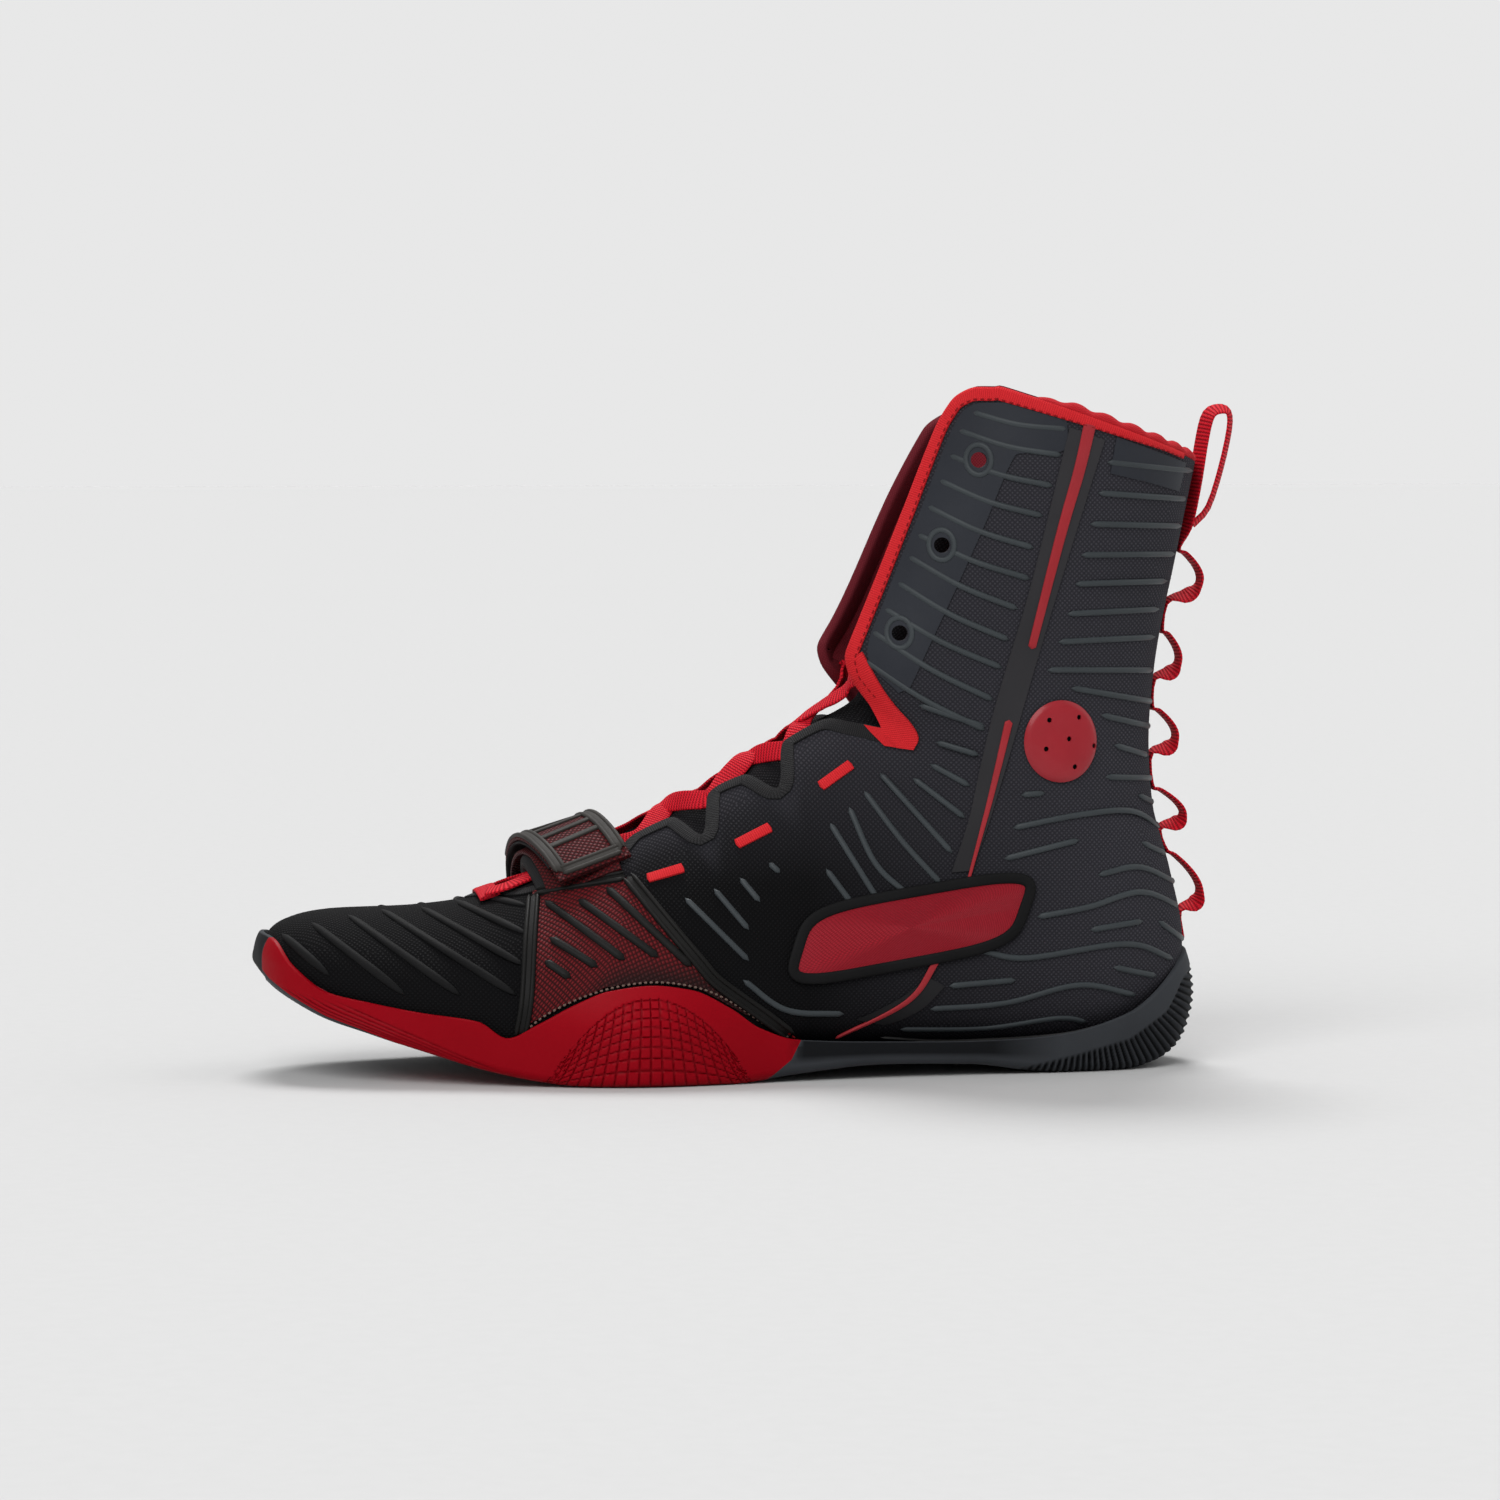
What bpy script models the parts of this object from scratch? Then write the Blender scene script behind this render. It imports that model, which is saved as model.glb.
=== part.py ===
"""Left boxing boot: mesh shaft upper on a two-colour cup sole, forefoot strap and taped heel.

Sizes are in millimetres from the toe tip (x), the heel's middle line (y, outer side negative)
and the floor (z). The toe points to -X, the outer side faces -Y.
"""

import math

import bmesh
import bpy
import numpy as np

MM = 0.001
ORIGIN_FROM_TOE = 153.0

# Driving sizes
WALL = 1.8
GAP = 0.3
FOOT_GAP = 0.35
SOLE_WALL = 1.9
SOLE_STRETCH = 16.0
INSOLE_THICKNESS = 4.0
TONGUE_THICKNESS = 3.0
OVERLAY_GAP = 0.45
OVERLAY_THICKNESS = 0.9
EYELET_RADIUS = 2.9
TOE_LAYER = 1.4
GROOVE_DEPTH = 0.8
GROOVE_WIDTH = 1.3
BINDING_WIDTH = 4.0
BINDING_THICKNESS = 0.7
BINDING_GAP = 0.45
BINDING_START = 0.25
BINDING_FLARE = 0.5

# Sections of the last, toe to collar. Each lies in a plane through two points of the side view:
# one on the ridge (top of the foot, front of the shaft), one opposite (under the foot, back of the heel).
# widest is the part of the way from ridge to base where the section is widest, crown and flank
# are the powers of its curves above and below that.
LAST_COLUMNS = ("ridge_x", "ridge_z", "base_x", "base_z", "lateral", "medial", "shift", "widest", "crown", "flank")
LAST = {
    "tip": (2.0, 36.0, 2.0, 36.0, 0.0, 0.0, 8.0, 0.60, 2.0, 2.0),
    "nose": (4.2, 42.3, 5.6, 29.3, 15.5, 13.5, 8.0, 0.62, 2.0, 2.2),
    "toe_cap": (10.0, 47.0, 14.5, 24.0, 27.0, 22.0, 8.0, 0.66, 2.0, 2.5),
    "toe_box": (23.0, 50.0, 30.0, 17.5, 37.0, 30.0, 7.6, 0.70, 2.0, 2.7),
    "toes": (51.0, 51.2, 61.0, 9.5, 46.5, 37.5, 6.5, 0.74, 2.0, 3.0),
    "vamp_point": (71.0, 54.6, 85.0, 5.6, 51.5, 41.0, 5.5, 0.76, 2.0, 3.1),
    "ball": (94.0, 64.8, 110.0, 4.6, 53.5, 43.0, 4.5, 0.77, 1.95, 3.2),
    "instep_low": (117.0, 77.0, 138.0, 4.6, 51.5, 40.0, 3.5, 0.77, 1.9, 3.1),
    "waist": (139.0, 89.0, 169.0, 6.2, 46.5, 34.5, 3.0, 0.75, 1.85, 3.0),
    "instep": (158.0, 100.8, 203.0, 6.8, 41.5, 32.5, 2.0, 0.70, 1.9, 2.8),
    "throat": (172.0, 110.0, 240.0, 5.2, 38.0, 33.5, 1.0, 0.66, 1.95, 2.6),
    "heel_seat": (176.8, 113.8, 269.0, 6.4, 36.5, 34.5, 0.5, 0.62, 2.0, 2.5),
    "heel_curve": (178.6, 117.0, 286.0, 18.5, 36.0, 34.5, 0.0, 0.58, 2.0, 2.4),
    "counter": (178.3, 120.0, 289.6, 39.0, 35.5, 34.5, 0.0, 0.55, 2.0, 2.3),
    "ankle_low": (176.5, 123.5, 285.8, 60.0, 35.5, 35.0, 0.0, 0.53, 2.0, 2.2),
    "ankle": (174.4, 127.5, 280.6, 80.0, 35.5, 35.5, 0.0, 0.52, 2.0, 2.1),
    "ankle_high": (174.0, 132.5, 279.2, 98.0, 35.5, 35.5, 0.0, 0.50, 2.0, 2.0),
    "shaft_low": (177.0, 140.5, 279.8, 114.0, 35.5, 35.5, 0.0, 0.50, 2.0, 2.0),
    "shaft": (184.3, 157.5, 282.0, 132.0, 36.0, 36.0, 0.0, 0.50, 2.0, 2.0),
    "shaft_high": (193.6, 179.5, 286.4, 153.5, 37.0, 37.0, 0.0, 0.50, 2.0, 2.0),
    "collar": (209.5, 216.0, 293.2, 187.2, 39.0, 39.0, 0.0, 0.50, 2.0, 2.0),
}
LAST_ROWS = np.array(list(LAST.values()))
STATION = {name: float(number) for number, name in enumerate(LAST)}
COLLAR = STATION["collar"]

# Edge of throat and flap in the side view (x, z), from the vamp point over three lobes and the notch to the collar.
THROAT_EDGE = {
    "vamp_point": (69.0, 54.1),
    "under_strap": (84.0, 57.4),
    "strap_end": (108.5, 67.0),
    "lobe_1_front": (117.0, 73.6),
    "lobe_1_top": (127.0, 78.2),
    "valley_1": (135.7, 73.6),
    "lobe_2_front": (141.0, 86.8),
    "lobe_2_top": (150.0, 91.0),
    "valley_2": (159.5, 87.5),
    "lobe_3_front": (164.2, 101.8),
    "lobe_3_top": (172.5, 106.6),
    "notch_lip": (186.0, 106.9),
    "notch": (191.8, 106.4),
    "flap_foot": (183.2, 121.4),
    "flap_corner": (181.3, 127.2),
    "flap_front": (182.6, 132.5),
    "flap_eyelet_low": (188.0, 145.8),
    "flap_middle": (199.0, 173.2),
    "flap_shoulder": (208.8, 197.8),
    "flap_round": (213.4, 206.0),
    "flap_top": (219.0, 210.0),
    "flap_peak": (226.0, 210.3),
}

# Sole in the side view: floor line with toe spring and arch, and the edge of its wall on both sides.
SOLE_COLUMNS = ("x", "floor", "lateral_edge", "medial_edge")
SOLE = np.array((
    (-6.0, 38.0, 43.5, 43.5),
    (3.0, 29.0, 42.8, 42.8),
    (10.0, 24.4, 34.6, 34.6),
    (20.0, 19.3, 27.4, 27.4),
    (32.0, 15.4, 24.8, 24.8),
    (48.0, 10.5, 21.9, 22.2),
    (65.0, 5.4, 19.5, 20.6),
    (73.5, 3.4, 14.6, 20.1),
    (82.0, 1.8, 18.6, 19.8),
    (94.0, 0.4, 25.0, 19.6),
    (104.0, 0.0, 28.8, 19.4),
    (117.0, 0.0, 30.3, 19.0),
    (129.0, 0.0, 28.8, 18.5),
    (141.0, 0.0, 23.0, 17.8),
    (150.0, 0.7, 16.8, 17.2),
    (162.0, 2.2, 12.7, 16.3),
    (189.0, 4.2, 11.2, 14.0),
    (218.0, 3.4, 10.6, 12.6),
    (234.0, 1.2, 11.0, 12.6),
    (246.0, 0.0, 12.1, 13.2),
    (268.0, 0.0, 18.0, 18.0),
    (277.0, 1.6, 23.5, 23.5),
    (286.0, 5.5, 31.0, 31.0),
    (291.0, 11.0, 35.0, 35.0),
    (295.0, 21.0, 37.0, 37.0),
    (301.0, 32.0, 38.0, 38.0),
))

# Outrigger at the ball: the sole's outer side is pushed out around its middle, below its top.
OUTRIGGER = {"middle": 116.0, "spread": 26.0, "reach": 4.0, "top": 34.0, "fade": 16.0, "half_width": 40.0}
UNDERSIDE_ONSET = 2.2

# Red side wall: inner edge under the ball, start of the black toe layer, and the slanting joint behind it (x, z).
SIDEWALL_INNER_EDGE = -9.0
SIDEWALL_START = (10.0, 30.0, 52.0, 72.0)
SIDEWALL_JOINT = ((163.5, 14.0), (160.0, 7.0), (152.5, 1.0), (148.0, -3.0))

# Grooves of the sole's side: fanned around the heel, and a grid on the outrigger under an arched edge.
HEEL_GROOVES = {"middle": 246.0, "half_fan": math.radians(80), "count": 9, "side_top": 8.0, "back_top": 23.0}
OUTRIGGER_GRID = {"first": 100.0, "last": 142.0, "columns": 6, "rows": (7.5, 14.5), "peak": 24.0,
                  "half_span": 33.0}
BEYOND_SOLE = 90.0
BELOW_FLOOR = -1.0

# Tongue: how far its outer face lies inside the last's.
TONGUE_COLUMNS = ("station", "depth")
TONGUE = np.array((
    (4.5, 3.3), (5.2, 3.4), (6.0, 3.4), (7.0, 3.4), (8.0, 3.4), (9.0, 3.4), (10.0, 3.6), (11.0, 5.5), (12.0, 9.0),
    (13.0, 11.5), (14.5, 13.0), (16.0, 13.0), (17.5, 13.0), (18.8, 13.0),
))
TONGUE_TURN = math.radians(54)

# Eyelets of a flap and the strip around them, in the side view.
EYELETS = {"top": (219.9, 188.5), "middle": (208.8, 162.5), "low": (196.1, 135.6)}
EYESTAY_FRONT = ((196.5, 117.5), (188.0, 129.0), (194.3, 147.5), (204.6, 173.0), (214.0, 197.0), (219.5, 204.0),
                 (228.0, 204.4))
EYESTAY_BACK = ((199.0, 119.0), (203.4, 129.0), (212.1, 148.0), (221.0, 168.1), (229.5, 188.8), (238.0, 193.0),
                (245.0, 198.5))

# Ankle pod, and the plain panel on the quarter: middle, half sizes, lean and roundness in the side view.
POD = {"middle": (245.0, 102.4), "half": (12.0, 12.6), "lean": 0.0, "power": 2.0}
SIDE_PANEL = {"middle": (198.0, 46.0), "half": (36.0, 10.5), "lean": 0.55, "power": 4.5}
SIDE_PANEL_RISE = math.radians(9)

# Welded tape from collar to sole, front and back edge in the side view, above and below the side panel.
TAPE_HIGH = (((246.6, 198.5), (235.0, 150.0), (223.5, 110.5), (217.0, 80.0), (211.0, 62.5)),
             ((257.5, 194.6), (244.0, 150.0), (231.0, 106.0), (223.5, 80.0), (217.5, 63.0)))
TAPE_LOW = (((203.0, 31.0), (196.0, 25.5), (187.0, 20.8), (181.0, 18.4)),
            ((208.5, 28.0), (202.0, 21.5), (195.0, 17.9), (190.0, 16.4)))

# Anchor panel of the strap on the outer side: upper and lower edge in the side view.
STRAP_PANEL_UPPER = ((84.5, 56.2), (98.5, 58.9), (113.4, 61.2), (122.7, 48.7), (132.0, 37.6), (148.5, 21.5))
STRAP_PANEL_LOWER = ((78.4, 18.4), (91.0, 24.9), (103.0, 29.9), (117.0, 31.6), (131.0, 29.5), (146.0, 20.9))

# Strap over the laces, through its ring on the inner side and back on itself.
STRAP_WIDTH = 26.0
STRAP_THICKNESS = 1.6
PATH_COLUMNS = ("station", "turn_degrees", "lift")
STRAP = np.array((
    (6.28, -27.0, 2.8), (6.24, -18.0, 5.4), (6.16, -5.0, 8.6), (6.08, 10.0, 9.0), (5.98, 28.0, 7.0),
    (5.92, 43.0, 4.3), (5.90, 51.0, 3.7), (5.90, 55.9, 6.5), (5.90, 51.0, 9.4), (5.92, 43.0, 9.8),
    (5.98, 28.0, 11.0), (6.08, 10.0, 12.4), (6.16, -5.0, 12.0), (6.24, -17.0, 9.2), (6.28, -26.5, 6.2),
))
RING = {"station": 5.90, "turn": math.radians(57.5), "lift": 6.55, "half": (16.5, 5.6), "wire": 1.2, "power": 5.0,
        "path_points": 18, "wire_sides": 6}
RING_TAB_WIDTH = 24.0
RING_TAB_THICKNESS = 1.2
RING_TAB = np.array((
    (5.92, 82.0, 1.2), (5.91, 77.5, 1.2), (5.90, 73.0, 1.7), (5.90, 66.5, 2.6), (5.90, 61.0, 3.6),
    (5.90, 58.8, 6.4), (5.90, 61.0, 9.3), (5.90, 66.5, 9.2), (5.90, 73.0, 5.8), (5.91, 79.0, 3.4),
))

# Lace: one strand, from the bar above the vamp across the lobes to the inside of a flap.
LACE_WIDTH = 6.5
LACE_THICKNESS = 1.2
LACE_RISE = 0.5
LACE_BAR_TURNS = (-25.5, -12.0, 0.0, 12.0, 25.5)
LACE = np.array((
    (5.30, -25.0, 1.3), (5.75, -9.0, 1.3), (6.60, 11.0, 1.3), (7.20, 19.0, 1.3), (7.75, 2.0, 1.3),
    (8.35, -17.0, 1.3), (9.00, 0.0, 1.3), (9.75, 16.0, 1.3), (10.70, 2.0, 0.4), (11.80, -14.0, -3.0),
    (12.70, -24.0, -4.6),
))

# Tape on the heel seam: loops by the heights where they leave and meet the upper, and their reach.
HEEL_TAPE_WIDTH = 9.0
HEEL_TAPE_THICKNESS = 1.0
HEEL_TAPE_START = 38.6
HEEL_LOOP_COLUMNS = ("from_z", "to_z", "reach")
HEEL_LOOPS = ((47.0, 66.4, 9.0), (73.0, 86.3, 10.0), (96.3, 111.3, 9.2), (119.8, 135.4, 8.0), (144.0, 160.5, 10.5))
PULL_LOOP = ((290.8, 167.0), (292.6, 176.0), (295.3, 184.5), (297.6, 192.0), (300.6, 199.4), (303.6, 203.2),
             (306.0, 200.6), (306.4, 191.0), (302.6, 180.6), (297.0, 173.2), (293.0, 168.6))

# Grid of the wall: turn runs from the ridge (0) down each side to the base (pi).
FREE_COLUMNS = 3
FIXED_COLUMNS = 2
LOWER_COLUMNS = 6
FIXED_TURN = math.radians(60)
FEATHER_COLUMN = FREE_COLUMNS + FIXED_COLUMNS + 4
SOLE_OPENING = (1.0, 11.7)
PLAIN_STATIONS = (0.0, 0.4, 1.0, 1.5, 2.0, 2.6, 3.3, 4.1, 6.05, 9.6, 10.4, 10.9, 11.7, 12.8, 13.4, 14.0, 15.05, 16.9,
                  18.2, 19.25)


def clear_scene():
    for item in list(bpy.data.objects):
        bpy.data.objects.remove(item, do_unlink=True)


def make_material(name, colour, roughness, metallic=0.0):
    material = bpy.data.materials.new(name)
    material.use_nodes = True
    shader = material.node_tree.nodes["Principled BSDF"]
    shader.inputs["Base Color"].default_value = (*colour, 1.0)
    shader.inputs["Roughness"].default_value = roughness
    shader.inputs["Metallic"].default_value = metallic
    return material


# The last

def last_values(station):
    """Row of the last at each station, smooth between the table's rows."""
    padded = np.vstack((2 * LAST_ROWS[0] - LAST_ROWS[1], LAST_ROWS, 2 * LAST_ROWS[-1] - LAST_ROWS[-2]))
    low = np.clip(np.floor(station).astype(int), 0, len(LAST_ROWS) - 2)
    part = (station - low)[..., None]
    before, first, second, after = (padded[low + step] for step in range(4))
    bend = 2 * before - 5 * first + 4 * second - after
    twist = 3 * (first - second) + after - before
    values = first + 0.5 * part * (second - before + part * (bend + part * twist))
    return dict(zip(LAST_COLUMNS, np.moveaxis(values, -1, 0)))


def last_form(station, turn):
    """Point of the last, outer face: station along it, turn around it, negative on the outer side."""
    row = last_values(station)
    turn = (turn + math.pi) % (2 * math.pi) - math.pi
    above = np.abs(turn) <= math.pi / 2
    power = 2.0 / np.where(above, row["crown"], row["flank"])
    level = np.abs(np.cos(turn)) ** power
    along = np.where(above, row["widest"] * (1 - level), row["widest"] + (1 - row["widest"]) * level)
    reach = np.abs(np.sin(turn)) ** power
    side = np.where(turn < 0, -row["lateral"], row["medial"])
    x = row["ridge_x"] + (row["base_x"] - row["ridge_x"]) * along
    z = row["ridge_z"] + (row["base_z"] - row["ridge_z"]) * along
    return np.stack((x, row["shift"] + side * reach, z), axis=-1)


def last_normal(station, turn):
    step = 0.02
    ahead = last_form(np.minimum(station + step, COLLAR), turn)
    behind = last_form(np.maximum(station - step, 0.0), turn)
    around = last_form(station, turn + step) - last_form(station, turn - step)
    normal = np.cross(around, ahead - behind)
    length = np.linalg.norm(normal, axis=-1, keepdims=True)
    normal = normal / np.maximum(length, 1e-9)
    row = last_values(station)
    middle = np.stack(((row["ridge_x"] + row["base_x"]) / 2, row["shift"], (row["ridge_z"] + row["base_z"]) / 2),
                      axis=-1)
    outward = np.sum(normal * (last_form(station, turn) - middle), axis=-1, keepdims=True)
    normal = np.where(outward < 0, -normal, normal)
    return np.where((station < 1e-6)[..., None], np.array((-1.0, 0.0, 0.0)), normal)


def last_point(station, turn, grow=0.0):
    station, turn = np.broadcast_arrays(np.asarray(station, float), np.asarray(turn, float))
    points = last_form(station, turn)
    return points + last_normal(station, turn) * np.asarray(grow, float)[..., None]


def turn_at(station, along):
    """Turn at which a section has gone a given part of the way from ridge to base."""
    row = last_values(np.asarray(station, float))
    widest = row["widest"]
    above = along <= widest
    high = np.clip(1 - along / widest, 0, 1) ** (row["crown"] / 2)
    low = np.clip((along - widest) / (1 - widest), 0, 1) ** (row["flank"] / 2)
    return np.where(above, np.arccos(high), math.pi - np.arccos(low))


def station_and_turn(x, z):
    """Station and turn of a point given in the side view."""
    low = np.zeros_like(x)
    high = np.full_like(x, COLLAR)
    for _ in range(40):
        middle = (low + high) / 2
        row = last_values(middle)
        run_x = row["base_x"] - row["ridge_x"]
        run_z = row["base_z"] - row["ridge_z"]
        beyond = run_x * (z - row["ridge_z"]) - run_z * (x - row["ridge_x"]) > 0
        low = np.where(beyond, middle, low)
        high = np.where(beyond, high, middle)
    row = last_values(low)
    run_x = row["base_x"] - row["ridge_x"]
    run_z = row["base_z"] - row["ridge_z"]
    along = ((x - row["ridge_x"]) * run_x + (z - row["ridge_z"]) * run_z) / (run_x ** 2 + run_z ** 2)
    return low, turn_at(low, np.clip(along, 0, 1))


def on_side(points, side, grow):
    """Points of the side view laid on the last's outer (-1) or inner (1) side, lifted by grow."""
    points = np.asarray(points, float)
    station, turn = station_and_turn(points[..., 0], points[..., 1])
    return last_point(station, side * turn, grow)


# Meshes

def to_scene(points):
    return (np.asarray(points, float) - (ORIGIN_FROM_TOE, 0.0, 0.0)) * MM


def add_mesh(name, points, faces, material):
    """Object from points in millimetres; points at one place are joined and flat faces dropped."""
    points = np.asarray(points, float).reshape(-1, 3)
    places = {}
    join = [places.setdefault(tuple(np.round(point, 4)), number) for number, point in enumerate(points)]
    mesh_work = bmesh.new()
    used = {}
    for number, place in zip(join, to_scene(points)):
        if number not in used:
            used[number] = mesh_work.verts.new(place)
    for face in faces:
        corners = []
        for corner in face:
            if join[corner] not in corners:
                corners.append(join[corner])
        if len(corners) > 2:
            mesh_work.faces.new([used[corner] for corner in corners])
    bmesh.ops.recalc_face_normals(mesh_work, faces=mesh_work.faces)
    mesh = bpy.data.meshes.new(name)
    mesh_work.to_mesh(mesh)
    mesh_work.free()
    piece = bpy.data.objects.new(name, mesh)
    bpy.context.collection.objects.link(piece)
    if material is not None:
        mesh.materials.append(material)
        mesh.shade_smooth()
        mesh.set_sharp_from_angle(angle=math.radians(35))
    return piece


def grid_faces(rows, columns, keep=None):
    faces = []
    for row in range(rows - 1):
        for column in range(columns - 1):
            if keep is None or keep(row, column):
                corner = row * columns + column
                faces.append((corner, corner + 1, corner + columns + 1, corner + columns))
    return faces


def add_wall(name, outer, inner, faces, material):
    """Solid wall between two faces of one layout, with a rim along each free edge."""
    outer = np.asarray(outer, float).reshape(-1, 3)
    inner = np.asarray(inner, float).reshape(-1, 3)
    count = len(outer)
    places = {}
    join = [places.setdefault(tuple(np.round(point, 4)), number) for number, point in enumerate(outer)]
    directed = set()
    for face in faces:
        corners = [join[corner] for corner in face]
        corners = [corner for number, corner in enumerate(corners) if corner != corners[number - 1]]
        directed.update(zip(corners, corners[1:] + corners[:1]))
    rim = [(end, start, start + count, end + count) for start, end in directed if (end, start) not in directed]
    back = [tuple(corner + count for corner in reversed(face)) for face in faces]
    return add_mesh(name, np.vstack((outer, inner)), list(faces) + back + sorted(rim), material)


def add_sweep(name, rings, material, closed=False):
    """Solid through rings of points, with ends filled unless it closes on itself."""
    rings = np.asarray(rings, float)
    count, sides = rings.shape[:2]
    faces = []
    for ring in range(count if closed else count - 1):
        following = (ring + 1) % count
        for side in range(sides):
            after = (side + 1) % sides
            faces.append((ring * sides + side, ring * sides + after, following * sides + after,
                          following * sides + side))
    if not closed:
        faces.append(tuple(range(sides)))
        faces.append(tuple((count - 1) * sides + side for side in range(sides)))
    return add_mesh(name, rings, faces, material)


def unit(vectors):
    return vectors / np.linalg.norm(vectors, axis=-1, keepdims=True)


def add_ribbon(name, centres, across, width, thickness, material):
    """Flat tape along a line of centres, across giving the direction of its width."""
    centres = np.asarray(centres, float)
    along = unit(np.gradient(centres, axis=0))
    across = unit(across - np.sum(across * along, axis=-1, keepdims=True) * along)
    facing = np.cross(across, along)
    half_width = across * width / 2
    half_thick = facing * thickness / 2
    rings = np.stack((centres - half_width - half_thick, centres + half_width - half_thick,
                      centres + half_width + half_thick, centres - half_width + half_thick), axis=1)
    return add_sweep(name, rings, material)


def add_cutter(piece):
    piece.hide_render = True
    piece.display_type = "WIRE"
    return piece


def combine(piece, tool, operation):
    change = piece.modifiers.new(operation.lower(), "BOOLEAN")
    change.operation = operation
    change.solver = "EXACT"
    change.object = tool


# The upper

def throat_knots():
    edge = np.array(list(THROAT_EDGE.values()))
    station, turn = station_and_turn(edge[:, 0], edge[:, 1])
    turn[0] = 0.0
    station[-1] = COLLAR
    return station, turn


def wall_stations():
    """Stations of the wall's grid: the plain ones, and those where the throat's edge turns."""
    knots, _ = throat_knots()
    return np.sort(np.concatenate((PLAIN_STATIONS, knots)))


def throat_turn(station):
    knots, turns = throat_knots()
    return np.interp(station, knots, turns, left=0.0)


def side_turns(station, throat):
    """Turns of one side's columns, from the throat's edge to the base."""
    free = np.linspace(0, 1, FREE_COLUMNS + 1)[None, :]
    free = throat[:, None] + (FIXED_TURN - throat[:, None]) * free
    middle = np.linspace(FIXED_TURN, math.pi / 2, FIXED_COLUMNS + 1)[1:]
    lower = np.linspace(math.pi / 2, math.pi, LOWER_COLUMNS + 1)[1:]
    fixed = np.concatenate((middle, lower))
    return np.hstack((free, np.broadcast_to(fixed, (len(station), len(fixed)))))


def add_upper(material):
    station = wall_stations()
    turn = side_turns(station, throat_turn(station))
    columns = turn.shape[1]

    def covered(row, column):
        under = SOLE_OPENING[0] - 1e-6 < station[row] < SOLE_OPENING[1] - 1e-6
        return not (under and column >= FEATHER_COLUMN)

    faces = grid_faces(len(station), columns, covered)
    count = len(station) * columns
    mirrored = [tuple(corner + count for corner in reversed(face)) for face in faces]
    outer = np.stack((last_point(station[:, None], -turn), last_point(station[:, None], turn)))
    inner = np.stack((last_point(station[:, None], -turn, -WALL), last_point(station[:, None], turn, -WALL)))
    return add_wall("upper", outer, inner, faces + mirrored, material)


def add_last_form(name, grow, shape=None):
    """Closed form of the last, grown by a wall's thickness; shape may move its points."""
    station = wall_stations()
    plain = side_turns(station, np.zeros_like(station))
    turn = np.hstack((-plain[:, ::-1], plain[:, 1:-1]))
    points = last_point(station[:, None], turn, grow)
    if shape is not None:
        points = shape(points, last_normal(*np.broadcast_arrays(station[:, None], turn)))
    return add_sweep(name, points, None)


# The sole

def sole_line(x, column):
    """Height of a line of the sole at x, smooth between the table's rows and never past them."""
    knots = SOLE[:, 0]
    values = SOLE[:, SOLE_COLUMNS.index(column)]
    span = np.diff(knots)
    slope = np.diff(values) / span
    tangent = np.zeros_like(values)
    same_way = slope[1:] * slope[:-1] > 0
    tangent[1:-1][same_way] = 2 / (1 / slope[1:][same_way] + 1 / slope[:-1][same_way])
    low = np.clip(np.searchsorted(knots, x) - 1, 0, len(knots) - 2)
    part = (x - knots[low]) / span[low]
    rest = 1 - part
    return (values[low] * rest ** 2 * (1 + 2 * part) + values[low + 1] * part ** 2 * (3 - 2 * part)
            + span[low] * part * rest * (rest * tangent[low] - part * tangent[low + 1]))


def sole_stations():
    middles = (SOLE[1:, 0] + SOLE[:-1, 0]) / 2
    sloping = np.diff(SOLE[:, 2]) != 0
    return np.sort(np.concatenate((SOLE[:, 0], middles[sloping])))


def stretch_sole(points, normal):
    """Last grown into the sole's outer form: its underside pushed down and the outrigger pushed out."""
    points = points.copy()
    points[..., 2] -= SOLE_STRETCH * np.clip(-UNDERSIDE_ONSET * normal[..., 2], 0, 1)
    near_ball = np.exp(-((points[..., 0] - OUTRIGGER["middle"]) / OUTRIGGER["spread"]) ** 2)
    low = np.clip((OUTRIGGER["top"] - points[..., 2]) / OUTRIGGER["fade"], 0, 1)
    outer = np.clip(-points[..., 1] / OUTRIGGER["half_width"], 0, 1) ** 2
    points[..., 1] -= OUTRIGGER["reach"] * near_ball * low * outer
    return points


def add_sole_band():
    """Space between the floor line and the edge of the sole's wall."""
    x = sole_stations()
    floor = sole_line(x, "floor")
    lateral = sole_line(x, "lateral_edge")
    medial = sole_line(x, "medial_edge")
    half_middle = 12.0
    outline = ((-BEYOND_SOLE, floor), (BEYOND_SOLE, floor), (BEYOND_SOLE, medial), (half_middle, medial),
               (-half_middle, lateral), (-BEYOND_SOLE, lateral))
    rings = np.stack([np.stack((x, np.full_like(x, y), z), axis=-1) for y, z in outline], axis=1)
    return add_cutter(add_sweep("sole_band", rings, None))


def add_sidewall_space(name, clear):
    """Space of the red side wall: outer half of the forefoot, back to a slanting joint."""
    joint = np.array(SIDEWALL_JOINT)
    front = -12.0
    above = 60.0
    x = np.array((front, *SIDEWALL_START))
    layer = np.interp(x, SIDEWALL_START[1::2], (TOE_LAYER, joint[-1, 1]))
    under = layer + np.interp(x, SOLE[:, 0], SOLE[:, 1])
    outline = [(front, above), *zip(x, under - clear), *(joint[::-1] + (clear, 0.0)), (joint[0, 0] + clear, above)]
    near = [(px, -BEYOND_SOLE, pz) for px, pz in outline]
    far = [(px, SIDEWALL_INNER_EDGE + clear, pz) for px, pz in outline]
    return add_cutter(add_sweep(name, np.array((near, far)), None))


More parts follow.
